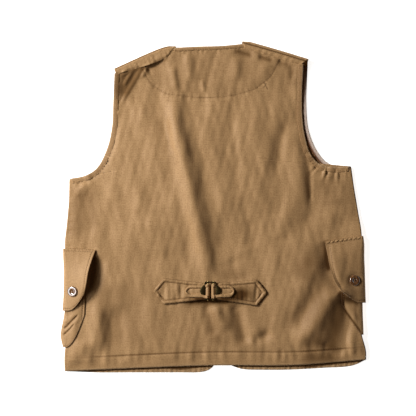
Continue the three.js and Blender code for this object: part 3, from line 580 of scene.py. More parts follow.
@dataclass
class Drape:
    """The back's surface as a height over the plan: a low crown with its folds, seams and unevenness."""

    side_rise: float = 0.9  # the side seam's turn above the front
    strip_margin: float = 9.0  # how much wider a shoulder strip is than its flat margin
    shoulder_soft: float = 6.0
    neck_margin: float = 4.0
    neck_soft: float = 10.0
    edge_near: float = 0.6  # distance within which the nearest edge alone counts
    edge_pull: float = 5.0  # how soon farther edges lose their weight
    hem_layer: float = 0.9
    hem_groove: Pair = (0.8, 1.6)  # depth and width
    hem_gather: Pair = (6.0, 13.0)  # place below the stitches and reach
    ripples: tuple[Ripples, ...] = (Ripples(3, 0.7, 44, stretch=3.2), Ripples(8, 0.22, 17, stretch=2.4))

    def __post_init__(self) -> None:
        """Gathers the edges, each with its heights, the flat margin beside it and how soon folds show."""
        self.hem = Line(BACK_HEM)
        self._edges: list[tuple[Line, float, float]] = []
        for half in HALVES.values():
            side = Line(half.side)
            side.samples[:, 2] = front_height(side.samples[:, 0], side.samples[:, 1]) + LAYER + self.side_rise
            self._edges += [
                (side, 0.0, FOLD_EDGE),
                (Line(half.armhole), 0.0, half.fold_edge),
                (Line(half.shoulder), half.strip - self.strip_margin, self.shoulder_soft),
            ]
        self._edges += [(self.hem, 0.0, FOLD_EDGE), (Line(BACK_NECK), self.neck_margin, self.neck_soft)]

    def crown(self, x: Array, y: Array) -> tuple[Array, Array]:
        """The plain crown.

        Args:
            x: Places across.
            y: Places up the back.

        Returns:
            Its height, and the share of a fold that shows at each place: 0 at an edge, 1 inside.
        """
        weights, heights, shown = [], [], np.ones_like(x)
        for line, margin, soft in self._edges:
            gap = np.hypot(x[:, None] - line.samples[:, 0], y[:, None] - line.samples[:, 1])
            nearest = gap.argmin(axis=1)
            distance = np.maximum(0, np.take_along_axis(gap, nearest[:, None], 1)[:, 0] - margin)
            shown = shown * ease(distance, 0, soft)
            weights.append((distance + self.edge_near) ** -self.edge_pull)
            heights.append(line.samples[nearest, 2])
        total = np.sum(weights, axis=0)
        distance = np.maximum(0, total ** (-1 / self.edge_pull) - self.edge_near)
        edge = (np.array(weights) * np.array(heights)).sum(axis=0) / total
        share = 1 - (1 - np.minimum(1, distance / EDGE_ROUND)) ** 2
        return blend(edge, CROWN_HEIGHT, share), shown

    def height(self, x: Array, y: Array, fine: bool = True) -> Array:
        """Height of the back's middle surface.

        Args:
            x: Places across.
            y: Places up the back.
            fine: Whether seams and small unevenness count.

        Returns:
            Heights above the floor.
        """
        crown, share = self.crown(x, y)
        height = crown + share * sum(fold.rise(x, y) for fold in FOLDS)
        if fine:
            height = height + sum(seam.rise(x, y) for seam in SEAMS) + self.hem_rise(x, y)
            height = height + share * sum(ripple.at(x, y) for ripple in self.ripples)
        return kept_above(front_height(x, y) + LAYER, height)

    def hem_rise(self, x: Array, y: Array) -> Array:
        """What the turned hem adds: a second layer, with a groove and puckers at its stitch line."""
        along, above, _ = self.hem.beside(x, y)
        over = above - HEM_DEPTH
        depth, width = self.hem_groove
        below, reach = self.hem_gather
        layer = self.hem_layer * (1 - ease(over, -1, 2))
        gather = gathers(along, 21, 0.6, 19, count=9)
        return layer - depth * bell(over, width) + gather * bell(over + below, reach)

    def on(self, x: Array, y: Array, above: float = 0.0) -> Array:
        """Places on the back, a little above its middle surface."""
        return joined(x, y, self.height(x, y) + above)


# Nodes and finishes
def set_inputs(tree: Tree, node: bpy.types.Node, inputs: dict[Any, Any]) -> None:
    """Gives a node's inputs, by name or index, their values or source sockets."""
    for name, value in inputs.items():
        if isinstance(value, bpy.types.NodeSocket):
            tree.links.new(value, node.inputs[name])
        else:
            node.inputs[name].default_value = value


def add_node(
    tree: Tree, kind: str, inputs: dict[Any, Any] | None = None, **settings: Any
) -> bpy.types.Node:
    """Adds a node to a tree.

    Args:
        tree: The material's node tree.
        kind: The node's type, such as ShaderNodeMix.
        inputs: Values or source sockets for its inputs, by name or index.
        settings: Values for its own settings.

    Returns:
        The node.
    """
    node = tree.nodes.new(kind)
    for name, value in settings.items():
        setattr(node, name, value)
    set_inputs(tree, node, inputs or {})
    return node


def new_material(name: str) -> tuple[Material, Tree, bpy.types.Node]:
    """Makes a material with its shader joined to its output."""
    material = bpy.data.materials.new(name)
    material.use_nodes = True
    tree = material.node_tree
    tree.nodes.clear()
    shader = add_node(tree, "ShaderNodeBsdfPrincipled")
    add_node(tree, "ShaderNodeOutputMaterial", {"Surface": shader.outputs["BSDF"]})
    return material, tree, shader


def object_place(tree: Tree) -> Socket:
    """Places in the piece's own coordinates."""
    return add_node(tree, "ShaderNodeTexCoord").outputs["Object"]


def attribute(tree: Tree, name: str) -> Socket:
    """A value that the piece stores under this name."""
    return add_node(tree, "ShaderNodeAttribute", attribute_name=name).outputs["Fac"]


def stretched(tree: Tree, place: Socket, scale: tuple[float, float, float]) -> Socket:
    """Places scaled along each axis."""
    return add_node(tree, "ShaderNodeMapping", {"Vector": place, "Scale": scale}).outputs[0]


def noise(tree: Tree, place: Socket, scale: float, detail: float, twist: float = 0.0) -> Socket:
    """A cloudy value from 0 to 1."""
    inputs = {"Vector": place, "Scale": scale, "Detail": detail, "Distortion": twist}
    return add_node(tree, "ShaderNodeTexNoise", inputs).outputs["Fac"]


def combined(tree: Tree, operation: str, *values: Socket | float, clamp: bool = False) -> Socket:
    """A sum, product or product with an addend of these values."""
    node = add_node(tree, "ShaderNodeMath", dict(enumerate(values)), operation=operation, use_clamp=clamp)
    return node.outputs[0]


def ranged(tree: Tree, value: Socket, low: float, high: float, full: float = 1.0) -> Socket:
    """A value that runs from low, where the given one is 0, to high, where it is full."""
    inputs = {"Value": value, "From Max": full, "To Min": low, "To Max": high}
    return add_node(tree, "ShaderNodeMapRange", inputs).outputs[0]


def mixed(tree: Tree, share: Socket, first: Socket | Colour, second: Colour) -> Socket:
    """A colour that goes from the first to the second with the share."""
    inputs = {"Factor": share, "A": first, "B": second}
    return add_node(tree, "ShaderNodeMix", inputs, data_type="RGBA").outputs["Result"]


def ramped(tree: Tree, value: Socket, stops: Sequence[float], colours: Sequence[str]) -> Socket:
    """A colour that runs through these hex colours, reached at the stops."""
    ramp = add_node(tree, "ShaderNodeValToRGB", {"Fac": value})
    elements = ramp.color_ramp.elements
    for index, (stop, colour) in enumerate(zip(stops, colours)):
        if index >= len(elements):
            elements.new(stop)
        elements[index].position = stop
        elements[index].color = linear(colour)
    return ramp.outputs["Color"]


def bumped(tree: Tree, height: Socket, strength: float, depth: float) -> Socket:
    """Fine relief of a surface, with its depth in millimetres."""
    inputs = {"Height": height, "Strength": strength, "Distance": depth * MM}
    return add_node(tree, "ShaderNodeBump", inputs).outputs[0]


@dataclass(frozen=True)
class Twill:
    """Cotton twill, woven and washed: matt, uneven, faded where worn, dark where soiled and where shade is
    painted on.
    """

    name: str = "cotton_twill"
    deep: str = "946f46"
    body: str = "a78256"
    light: str = "b48f61"
    worn: str = "cdb08a"
    # colour of soil and of painted shade
    soiled: str = "4a3016"
    stops: tuple[float, ...] = (0.38, 0.5, 0.64)
    rib: float = 2.6  # true ribs are about 0.8 mm apart, drawn coarser so that they show
    rib_lean: float = -58.0  # degrees
    rib_share: float = 0.2  # of the relief, beside the threads
    rib_twist: float = 1.2
    slub: float = 2.6  # true threads are 0.4 mm wide, drawn coarser so that they show
    slub_run: float = 34.0
    slub_tone: float = 0.16
    grain_tone: float = 0.5
    least_tone: float = 0.09
    mottle: float = 46.0
    bump: float = 0.35
    bump_depth: float = 0.5
    rough: Pair = (0.55, 0.72)
    shine: Pair = (0.45, 0.02)  # of clean cloth, and of cloth under full soil and painted shade
    shine_end: float = 0.7  # share of soil and painted shade at which the shine is gone
    ior: float = 1.45
    sheen: float = 0.08
    sheen_rough: float = 0.5

    def material(self) -> Material:
        """Makes the material, which reads the piece's flat map, its wear and its share of soil and painted
        shade.
        """
        material, tree, shader = new_material(self.name)
        flat = add_node(tree, "ShaderNodeUVMap", uv_map="cloth").outputs["UV"]
        short, long = 1 / (self.slub * MM), 1 / (self.slub_run * MM)
        scales = (short, long, 1), (long, short, 1)
        warp, weft = (noise(tree, stretched(tree, flat, scale), 1.0, 3.0) for scale in scales)
        threads = combined(tree, "ADD", warp, weft)
        grain = noise(tree, flat, short, 2.0)
        mottle = noise(tree, flat, 1 / (self.mottle * MM), 5.0)
        speckle = combined(tree, "MULTIPLY_ADD", grain, self.grain_tone, self.least_tone)
        tone = combined(tree, "MULTIPLY_ADD", threads, self.slub_tone, speckle)
        clean = ramped(tree, tone, self.stops, (self.deep, self.body, self.light))
        uneven = combined(tree, "MULTIPLY", attribute(tree, "worn"), grain)
        faded = mixed(tree, uneven, clean, linear(self.worn))
        # share of soil and of painted shade
        soil = attribute(tree, "soiled")
        lean = {"Vector": flat, "Rotation": (0, 0, math.radians(self.rib_lean))}
        wave = {
            "Vector": add_node(tree, "ShaderNodeMapping", lean).outputs[0],
            "Scale": 2 * math.pi / WAVE_UNIT / (self.rib * MM),
            "Distortion": self.rib_twist,
            "Detail": 2.0,
        }
        ribs = add_node(tree, "ShaderNodeTexWave", wave, wave_type="BANDS").outputs["Fac"]
        relief = combined(tree, "MULTIPLY_ADD", ribs, self.rib_share, threads)
        set_inputs(tree, shader, {
            "Base Color": mixed(tree, soil, faded, linear(self.soiled)),
            "Roughness": ranged(tree, mottle, *self.rough),
            "Specular IOR Level": ranged(tree, soil, *self.shine, self.shine_end),
            "Normal": bumped(tree, relief, self.bump, self.bump_depth),
            "IOR": self.ior,
            "Sheen Weight": self.sheen,
            "Sheen Roughness": self.sheen_rough,
        })
        return material


@dataclass(frozen=True)
class Thread:
    """Polyester-cotton sewing thread: a twisted strand, a little darker than the cloth."""

    name: str = "sewing_thread"
    colour: str = "6d4d2c"
    light: str = "86633c"
    strand: float = 1.2
    bump: float = 0.3
    bump_depth: float = 0.2
    rough: float = 0.7

    def material(self) -> Material:
        """Makes the material, with uneven strands."""
        material, tree, shader = new_material(self.name)
        strands = noise(tree, object_place(tree), 1 / (self.strand * MM), 2.0)
        set_inputs(tree, shader, {
            "Base Color": mixed(tree, strands, linear(self.colour), linear(self.light)),
            "Roughness": self.rough,
            "Normal": bumped(tree, strands, self.bump, self.bump_depth),
        })
        return material


@dataclass(frozen=True)
class Horn:
    """Polished horn-like resin, turned and buffed: brown with cloudy streaks and a sharp gloss."""

    name: str = "polished_horn_resin"
    dark: str = "3c2413"
    brown: str = "6b4527"
    pale: str = "93683f"
    stops: tuple[float, ...] = (0.3, 0.5, 0.72)
    streak: float = 5.0
    drawn_out: float = 0.35
    twist: float = 1.2
    rough: Pair = (0.12, 0.22)
    ior: float = 1.8
    coat_rough: float = 0.1

    def material(self) -> Material:
        """Makes the material."""
        material, tree, shader = new_material(self.name)
        across = 1 / (self.streak * MM)
        drawn = stretched(tree, object_place(tree), (across, self.drawn_out * across, across))
        cloud = noise(tree, drawn, 1.0, 5.0, self.twist)
        set_inputs(tree, shader, {
            "Base Color": ramped(tree, cloud, self.stops, (self.dark, self.brown, self.pale)),
            "Roughness": ranged(tree, cloud, *self.rough),
            "IOR": self.ior,
            "Coat Weight": 1.0,
            "Coat IOR": self.ior,
            "Coat Roughness": self.coat_rough,
        })
        return material


@dataclass(frozen=True)
class Bronze:
    """Antique-plated brass, tumbled: near black in the hollows, with brass showing where it is rubbed."""

    name: str = "antique_brass"
    dark: str = "1d150b"
    brass: str = "c2a970"
    patch: float = 6.0
    patch_share: float = 0.3
    rough: Pair = (0.28, 0.5)

    def material(self) -> Material:
        """Makes the material, with rubbed patches and edges from the worn attribute."""
        material, tree, shader = new_material(self.name)
        patches = noise(tree, object_place(tree), 1 / (self.patch * MM), 4.0)
        worn = attribute(tree, "worn")
        rubbed = combined(tree, "MULTIPLY_ADD", patches, self.patch_share, worn, clamp=True)
        set_inputs(tree, shader, {
            "Base Color": mixed(tree, rubbed, linear(self.dark), linear(self.brass)),
            "Roughness": ranged(tree, patches, *self.rough),
            "Metallic": 1.0,
        })
        return material


@dataclass(frozen=True)
class Acrylic:
    """Opal acrylic of a light table: pale, even and matt, with a glow that softens shadows."""

    name: str = "opal_acrylic"
    colour: str = "f6f6f5"
    glow: float = 0.95
    rough: float = 0.95
    shine: float = 0.1

    def material(self) -> Material:
        """Makes the material."""
        material, tree, shader = new_material(self.name)
        set_inputs(tree, shader, {
            "Base Color": linear(self.colour),
            "Roughness": self.rough,
            "Specular IOR Level": self.shine,
            "Emission Color": linear(self.colour),
            "Emission Strength": self.glow,
        })
        return material


class Wardrobe:
    """The vest's finishes, each made once."""

    def __init__(self) -> None:
        """Makes the materials."""
        self.cloth = Twill().material()
        self.strip = Twill("twill_strip", deep="8e6941", body="a07b50", light="b08b5e").material()
        self.facing = Twill(
            # the wrong side's dark colour is laid on as painted shade, where the back shades the facing
            "twill_wrong_side", deep="b79c88", body="d2bcab", light="e0d0c3", worn="eadfd5", soiled="5f3c27"
        ).material()
        self.thread = Thread().material()
        self.horn = Horn().material()
        self.bronze = Bronze().material()


# Making meshes
@dataclass
class Finish:
    """How a piece is dressed: its material and the CAD nodes that it stands for."""

    material: Material
    slot: str | None = None
    nodes: tuple[str, ...] = ()


def finish_piece(bm: Shape, name: str, finish: Finish) -> Piece:
    """Turns a bmesh in millimetres into a smooth piece in the part's frame that rides on it.

    Args:
        bm: The shape, freed here.
        name: The piece's name.
        finish: Its material and nodes.

    Returns:
        The piece.
    """
    bmesh.ops.transform(bm, matrix=Matrix.Translation(SHIFT) @ Matrix.Scale(MM, 4), verts=bm.verts)
    mesh = bpy.data.meshes.new(name)
    bm.to_mesh(mesh)
    bm.free()
    mesh.polygons.foreach_set("use_smooth", np.ones(len(mesh.polygons), bool))
    piece = bpy.data.objects.new(name, mesh)
    bpy.context.scene.collection.objects.link(piece)
    mesh.materials.append(finish.material)
    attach(piece, "root")
    if finish.nodes:
        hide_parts(*finish.nodes)
    return piece


def mark(piece: Piece, **values: Array) -> None:
    """Stores one value per vertex under each name."""
    for name, value in values.items():
        stored = piece.data.attributes.new(name, "FLOAT", "POINT")
        stored.data.foreach_set("value", np.clip(value, 0, 1).astype(np.float32))


@dataclass
class Cloth:
    """A sheet of cloth: a grid whose points a surface places.

    surface turns shares across and along into places, flat turns them into the cloth's own flat map, and
    the two tints say where it is faded with wear, and where it is darkened by soil and by painted shade. cut
    and area are the size of the flat cloth.
    """

    name: str
    columns: Array
    rows: Array
    surface: Surface
    flat: Surface
    finish: Finish
    cut: Pair
    thickness: float = CLOTH
    worn: Tint | None = None
    soiled: Tint | None = None
    area: float | None = None
    held: str = "laid"

    def make(self) -> Piece:
        bm = bmesh.new()
        bmesh.ops.create_grid(bm, x_segments=len(self.columns) - 1, y_segments=len(self.rows) - 1, size=0.5)
        grid = np.array([v.co[:2] for v in bm.verts]) + 0.5
        u = np.interp(grid[:, 0], evenly(len(self.columns)), self.columns)
        v = np.interp(grid[:, 1], evenly(len(self.rows)), self.rows)
        places = self.surface(u, v)
        for vert, place in zip(bm.verts, places):
            vert.co = place
        piece = finish_piece(bm, self.name, self.finish)
        mesh = piece.data
        corner = np.zeros(len(mesh.loops), np.int32)
        mesh.loops.foreach_get("vertex_index", corner)
        layer = mesh.uv_layers.new(name="cloth")
        layer.data.foreach_set("uv", (self.flat(u, v)[corner] * MM).astype(np.float32).ravel())
        nothing = np.zeros(len(u))
        mark(
            piece,
            worn=self.worn(u, v, places) if self.worn else nothing,
            soiled=self.soiled(u, v, places) if self.soiled else nothing,
        )
        wall = piece.modifiers.new("wall", "SOLIDIFY")
        wall.thickness = self.thickness * MM
        wall.offset = 0.0
        log.info("%s: %d points", self.name, len(u))
        return piece


def lifted(surface: Surface, u: Array, v: Array, rise: float) -> Array:
    """Places that stand off a surface on its upper side.

    Args:
        surface: Shares to places.
        u: Shares across.
        v: Shares along.
        rise: Distance off the surface.

    Returns:
        The places.
    """
    step = 1e-3
    across = surface(u + step, v) - surface(u - step, v)
    along = surface(u, v + step) - surface(u, v - step)
    normal = np.cross(across, along)
    normal /= np.linalg.norm(normal, axis=1, keepdims=True)
    normal *= np.where(normal[:, 2:] < 0, -1, 1)
    return surface(u, v) + normal * rise


@dataclass
class Stitches:
    """Rows of stitches: short flattened strands end to end, where share is what shows of each pitch."""

    name: str
    finish: Finish
    rows: Sequence[Array]
    pitch: float = 4.6
    share: float = 0.74
    radius: float = 0.42
    flatness: float = 0.8

    def make(self) -> Piece:
        """Makes every stitch of every row as one piece."""
        bm = bmesh.new()
        for row in self.rows:
            way = np.concatenate([[0.0], np.cumsum(np.linalg.norm(np.diff(row, axis=0), axis=1))])
            count = max(1, round(way[-1] / self.pitch))
            step = way[-1] / count
            for index in range(count):
                ends = step * (index + 0.5 + self.share * np.array([-0.5, 0.5]))
                start, end = (Vector([np.interp(s, way, row[:, i]) for i in range(3)]) for s in ends)
                turn = (end - start).to_track_quat("X", "Z").to_matrix().to_4x4()
                half_length = (end - start).length / 2
                size = Matrix.Diagonal((half_length, self.radius, self.radius * self.flatness, 1))
                bmesh.ops.create_icosphere(
                    bm, subdivisions=1, radius=1.0, matrix=Matrix.Translation((start + end) / 2) @ turn @ size
                )
        piece = finish_piece(bm, self.name, self.finish)
        log.info("%s: %d faces", self.name, len(piece.data.polygons))
        return piece


@dataclass
class Back:
    """The back: one sheet with its hem and its half-moon seam, and the edges that strips are sewn round."""

    drape: Drape
    columns: int = 205
    rows: int = 225
    cut: Pair = (606.0, 655.0)
    area: float = 312000.0
    thread_ends: tuple[Points, ...] = (
        ((99, 250), (103, 242), (108, 233)), ((104, 247), (102, 240), (98, 237))
    )
    thread_end_pitch: float = 7.5
    thread_end_rise: float = 0.3
    hem_wear: Pair = (0.7, 2.0)  # strength at the edge and reach
    hem_groove_shade: Pair = (0.7, 1.1)  # strength of the painted shade at the stitches, and reach
    yoke_groove_shade: Pair = (0.35, 1.2)
    yoke_shade: float = 0.1  # painted shade above the half-moon seam, where the cloth is double

    def __post_init__(self) -> None:
        """Spans the plan between the outlines."""
        left, right = HALVES[Side.LEFT], HALVES[Side.RIGHT]
        self.top = Chain(
            (Line(left.shoulder), NECK_START, 1.0),
            (Line(BACK_NECK), NECK_END, 1.0),
            (Line(right.shoulder), 1.0, 1.0),
        )
        self.sides = {
            side: Chain((Line(half.side), UNDERARM, 1.0), (Line(half.armhole), 1.0, ARMHOLE_PACE))
            for side, half in HALVES.items()
        }
        hem = Chain((Line(BACK_HEM), 1.0, 1.0))
        self.plan = Patch(hem, self.top, self.sides[Side.LEFT], self.sides[Side.RIGHT])

    def surface(self, u: Array, v: Array) -> Array:
        """Places on the back's middle surface."""
        plan = self.plan.at(u, v)
        return self.drape.on(plan[:, 0], plan[:, 1])

    def build(self, wardrobe: Wardrobe) -> None:
        """Makes the sheet and its stitching."""
        Cloth(
            "back_cloth", evenly(self.columns + 1), evenly(self.rows + 1), self.surface,
            lambda u, v: self.plan.at(u, v)[:, :2], Finish(wardrobe.cloth, "twill", ("back_panel",)),
            cut=self.cut, area=self.area, worn=self._worn, soiled=self._soiled,
        ).make()
        thread = Finish(wardrobe.thread, "twill")
        line = self.drape.hem
        hem = line.samples[:, :2] + joined(-line.tangents[:, 1], line.tangents[:, 0]) * HEM_DEPTH
        Stitches("hem_stitches", thread, [self._sewn(hem[2:-2])]).make()
        Stitches("half_moon_stitches", thread, [self._sewn(Line(YOKE).samples)]).make()
        ends = [self._sewn(Line(end).samples, self.thread_end_rise) for end in self.thread_ends]
        Stitches("thread_end", thread, ends, pitch=self.thread_end_pitch, share=1.0).make()

    def _sewn(self, plan: Array, rise: float = STITCH_RISE) -> Array:
        """Places where thread lies on the back."""
        return self.drape.on(plan[:, 0], plan[:, 1], CLOTH / 2 + rise)

    def _worn(self, u: Array, v: Array, places: Array) -> Array:
        """Faded along the hem's edge."""
        _, above, _ = self.drape.hem.beside(places[:, 0], places[:, 1])
        strength, reach = self.hem_wear
        return strength * np.exp(-np.abs(above) / reach)

    def _soiled(self, u: Array, v: Array, places: Array) -> Array:
        """Darkened in the grooves of hem and half-moon seam, in deep folds and a little above the seam, all
        as painted shade.
        """
        _, above, _ = self.drape.hem.beside(places[:, 0], places[:, 1])
        _, beside, _ = Line(YOKE).beside(places[:, 0], places[:, 1])
        seams = sum(
            strength * bell(distance, reach)
            for distance, (strength, reach) in ((above - HEM_DEPTH, self.hem_groove_shade), (beside, self.yoke_groove_shade))
        )
        return seams + painted_shade(places) + self.yoke_shade * ease(beside, -8, 12) * ease(places[:, 1], 200, 225)


def beside_edge(edge: Chain, way: Array, inwards: int) -> tuple[Array, Array]:
    """Follows an edge.

    Args:
        edge: The edge, gone along upwards or from left to right.
        way: Shares of the way along it.
        inwards: 1 where the cloth is on the left as one goes along, -1 where it is on the right.

    Returns:
        Places on the edge, seen from above, and the directions across it towards the cloth.
    """
    step = 0.004
    along = edge.at(np.minimum(way + step, 1)) - edge.at(np.maximum(way - step, 0))
    along /= np.linalg.norm(along[:, :2], axis=1, keepdims=True)
    return edge.at(way)[:, :2], joined(-along[:, 1], along[:, 0]) * inwards


@dataclass
class EdgeStrip:
    """A folded strip sewn over an edge of the back: flat on top, rolled round the edge, and stitched.

    node is the CAD node that it stands for, span the shares of the edge between which it runs, inwards
    as in beside_edge, and tight how much deeper its puckers are where it starts.
    """

    name: str
    node: str
    edge: Chain
    span: Pair
    inwards: int
    width: float
    length: float
    drape: Drape
    tight: float = 0.0
    turn: float = 2.4  # height of the roll round the edge
    roll: float = 0.9  # how far the roll stands out
    tuck: float = 3.0  # how far its hidden edge goes back under
    fold: float = 0.7  # share of the width at which it turns round the edge
    tuck_from: float = 0.9
    seam: float = 0.17  # share of the width at which it is stitched
    seam_width: float = 0.06
    seam_depth: float = 0.3
    sunk: float = 0.7  # how far its sewn edge is drawn into the back
    rise: float = 0.6
    edge_length: float = 650.0  # of the whole edge that the span is a share of
    thickness: float = 1.0
    stitch_rise: float = 0.55
    base_soil: float = 0.06
    painted_shade_share: float = 0.8
    columns: tuple[float, ...] = (0, 0.05, 0.12, 0.25, 0.4, 0.55, 0.65, 0.72, 0.79, 0.86, 0.93, 1.0)

    def place(self, c: Array, share: Array, above: float = 0.0) -> Array:
        """Places on the strip.

        Args:
            c: From 0 at its sewn edge on top to fold at the edge, and on to 1 underneath.
            share: Shares of the way along the strip.
            above: Height over the strip's middle.

        Returns:
            The places.
        """
        edge, inward = beside_edge(self.edge, blend(self.span[0], self.span[1], share), self.inwards)
        angle = np.clip((c - self.fold) / (1 - self.fold), 0, 1) * math.pi
        tuck = self.tuck * np.clip((c - self.tuck_from) / (1 - self.tuck_from), 0, 1)
        reach = self.width * (1 - np.minimum(c / self.fold, 1)) - self.roll * np.sin(angle) + tuck
        plan = edge + inward * reach[:, None]
        inside = edge + inward * np.maximum(reach, 0.4)[:, None]
        sunk = self.sunk * (1 - ease(c, 0.0, 0.3)) + self.seam_depth * bell(c - self.seam, self.seam_width)
        gather = gathers(share * self.edge_length * (self.span[1] - self.span[0]), 5, 0.16, 6.5)
        gather = gather * (1 + self.tight * (1 - ease(share, 0.25, 0.42)))
        top = self.drape.height(inside[:, 0], inside[:, 1], fine=False) + CLOTH / 2 + self.rise
        z = top - sunk + gather * (c < 0.8) - self.turn * (1 - np.cos(angle)) / 2
        return joined(plan[:, 0], plan[:, 1], z + above)

    def build(self, wardrobe: Wardrobe) -> None:
        """Makes the strip and its stitches."""
        Cloth(
            self.name, np.array(self.columns), evenly(int(self.length / 2.6)), self.place,
            lambda c, s: joined(c * self.width * 1.5, s * self.length),
            Finish(wardrobe.strip, "twill_edge", (self.node,)), cut=(self.width * 1.7, self.length),
            thickness=self.thickness, worn=lambda c, s, places: 0.7 * bell(c - self.fold, 0.12),
            # the strip takes a share of the painted shade of the back beside it
            soiled=lambda c, s, places: self.base_soil + self.painted_shade_share * painted_shade(places), held="folded",
        ).make()
        along = np.linspace(0.005, 0.995, 120)
        row = self.place(np.full_like(along, self.seam), along, self.stitch_rise)
        Stitches(f"{self.name}_stitches", Finish(wardrobe.thread, "twill_edge"), [row]).make()


@dataclass
class Front:
    """One front under the back: it lies on the floor and rolls over the shoulder onto the back."""

    side: Side
    columns: int = 160
    cut: Pair = (310.0, 690.0)
    area: float = 165000.0
    narrowing: float = 0.8  # share of the strip's width lost at the neck
    widening: float = 0.6  # share of the shoulder over which it gains its width
    flatness: float = 0.6  # share of the roll's bulge that is lost at the neck
    sunk: float = 2.0  # how far the strip's sewn edge is drawn into the back
    gape: float = 3.0
    sewn: float = 5.0  # how wide its sewn edge is
    crease: Pair = (0.9, 1.1)  # depth and width of the seam on the roll
    crease_shade: Pair = (0.95, 1.6)
    hem_row: float = 0.008
    seam_row: float = 1.6
    hem_shade: float = 0.2
    under_hem: float = 0.75
    shade_depth: float = 2.8  # how far the painted shadow reaches out from under the back's hem
    deep_shades: tuple[float, ...] = (-62.0, 195.0)  # places across where it reaches farther
    facing_cut: Pair = (18.0, 265.0)
    facing_area: float = 2500.0

    def __post_init__(self) -> None:
        """Spans the plan between the front's outlines."""
        self.half = HALVES[self.side]
        half = self.half
        self.outer = Chain((Line(half.side), UNDERARM, 1.0), (Line(half.front_armhole), 1.0, ARMHOLE_PACE))
        inner = Chain((Line(half.front_edge), FRONT_SEAM_SHARE, 1.0), (Line(half.front_v), 1.0, 1.0))
        fold = Chain((Line(half.fold), 1.0, 1.0))
        self.plan = Patch(Chain((Line(half.front_hem), 1.0, 1.0)), fold, self.outer, inner)
        turn = (fold.at(np.array([1.0])) - fold.at(np.array([0.0])))[0, :2] * -self.side.value
        self.outwards = np.array([-turn[1], turn[0]]) / np.linalg.norm(turn)
        self.roll = math.pi * SHOULDER_ROLL

    def _over(self, u: Array, v: Array) -> tuple[Array, Array]:
        """The way gone over the shoulder, and the width of the strip there, narrower towards its ends."""
        narrow = 1 - self.narrowing * ease(u, self.half.taper, 1.0)
        strip = self.half.strip * narrow * blend(self.half.start, 1, ease(u, 0, self.widening))
        return np.maximum(0, v - 1) * (self.roll + strip), strip

    def surface(self, u: Array, v: Array) -> Array:
        """Places on the front: v from 0 at the hem to 1 at the shoulder fold, and 2 where the strip ends."""
        over, strip = self._over(u, v)
        roll, end = self.roll, self.roll + strip
        slide = u + self.half.slant * (1 - u) * ease(over, roll / 2, end)
        plan = self.plan.at(slide, np.clip(v, 0, 1))
        z = front_height(plan[:, 0], plan[:, 1])
        angle = np.minimum(over / SHOULDER_ROLL, math.pi)
        bulge = SHOULDER_BULGE * (1 - self.flatness * ease(u, 0.88, 1.0))
        shift = bulge * np.sin(angle) - np.maximum(0, over - roll)
        plan[:, :2] += self.outwards * shift[:, None]
        gather = gathers(u, 31 + self.side.value, 0.25, 0.07)
        stands = sum(bell(u - place, spread) for place, spread in self.half.gapes)
        sunk = (self.sunk - self.gape * stands) * ease(over, end - self.sewn, end)
        depth, width = self.crease
        crease = depth * bell(over - roll * self.half.crease, width)
        z = z + SHOULDER_ROLL * (1 - np.cos(angle)) + gather * ease(over, roll, roll + 6) - sunk - crease
        drawn = gathers(u, 41 + self.side.value, 0.55, 0.022, count=9)
        z = z + np.maximum(drawn + 0.5, 0) * bell(v - 0.004, 0.012)
        return joined(plan[:, 0], plan[:, 1], z)

    def _soiled(self, u: Array, v: Array, places: Array) -> Array:
        """Painted shade along the crease on the shoulder's roll and over the front's hem, darkest in the
        painted shadow close under the back's hem.
        """
        over, _ = self._over(u, v)
        _, above, _ = Line(BACK_HEM).beside(places[:, 0], places[:, 1])
        deep = self.shade_depth + sum(3.0 * bell(places[:, 0] - x, 26) for x in self.deep_shades)
        # painted shadow of the back's hem on the front's hem
        hem = np.where(v < 0.1, self.hem_shade + self.under_hem * ease(above, -deep - 1.8, -deep), 0.0)
        strength, reach = self.crease_shade
        return hem + strength * bell(over - self.roll * self.half.crease, reach)

    def build(self, wardrobe: Wardrobe) -> None:
        """Makes the front, its stitching and the strip inside its armhole."""
        word = self.side.word
        rows = np.concatenate(
            [np.linspace(0, 0.05, 22), np.linspace(0.065, 0.985, 60), np.linspace(1, 2, 44)]
        )
        Cloth(
            f"front_cloth_{word}", evenly(self.columns + 1), rows, self.surface, self._flat,
            Finish(wardrobe.cloth, "twill", (f"front_panel_{word}",)), cut=self.cut, area=self.area,
            worn=lambda u, v, places: 0.6 * np.exp(-v / 0.01), soiled=self._soiled,
        ).make()
        thread = Finish(wardrobe.thread, "twill")
        across = np.linspace(0.02, 0.98, 120)
        _, strip = self._over(across, across)
        seam = 1 + (self.roll * self.half.crease + self.seam_row) / (self.roll + strip)
        for name, along in (("front_hem", np.full_like(across, self.hem_row)), ("shoulder", seam)):
            row = lifted(self.surface, across, along, CLOTH / 2 + STITCH_RISE)
            Stitches(f"{name}_stitches_{word}", thread, [row]).make()
        Cloth(
            f"armhole_facing_strip_{word}", evenly(9), evenly(120), self._facing,
            lambda c, s: joined(c * BINDING_WIDTH, s * 260),
            Finish(wardrobe.facing, "facing", (f"armhole_facing_{word}",)), cut=self.facing_cut,
            area=self.facing_area, thickness=1.0, worn=lambda c, s, places: 0.6 * bell(c, 0.2),
            # painted shade on the facing's inner part and at its top, where the back shades it
            soiled=lambda c, s, places: np.maximum(ease(c, 0.4, 0.85), 0.8 * ease(s, 0.8, 0.97)),
            held="folded",
        ).make()

    def _flat(self, u: Array, v: Array) -> Array:
        """The cloth's flat map, which goes on past the shoulder."""
        return self.plan.at(u, np.clip(v, 0, 1))[:, :2] + joined(u * 0, 25 * np.maximum(0, v - 1))

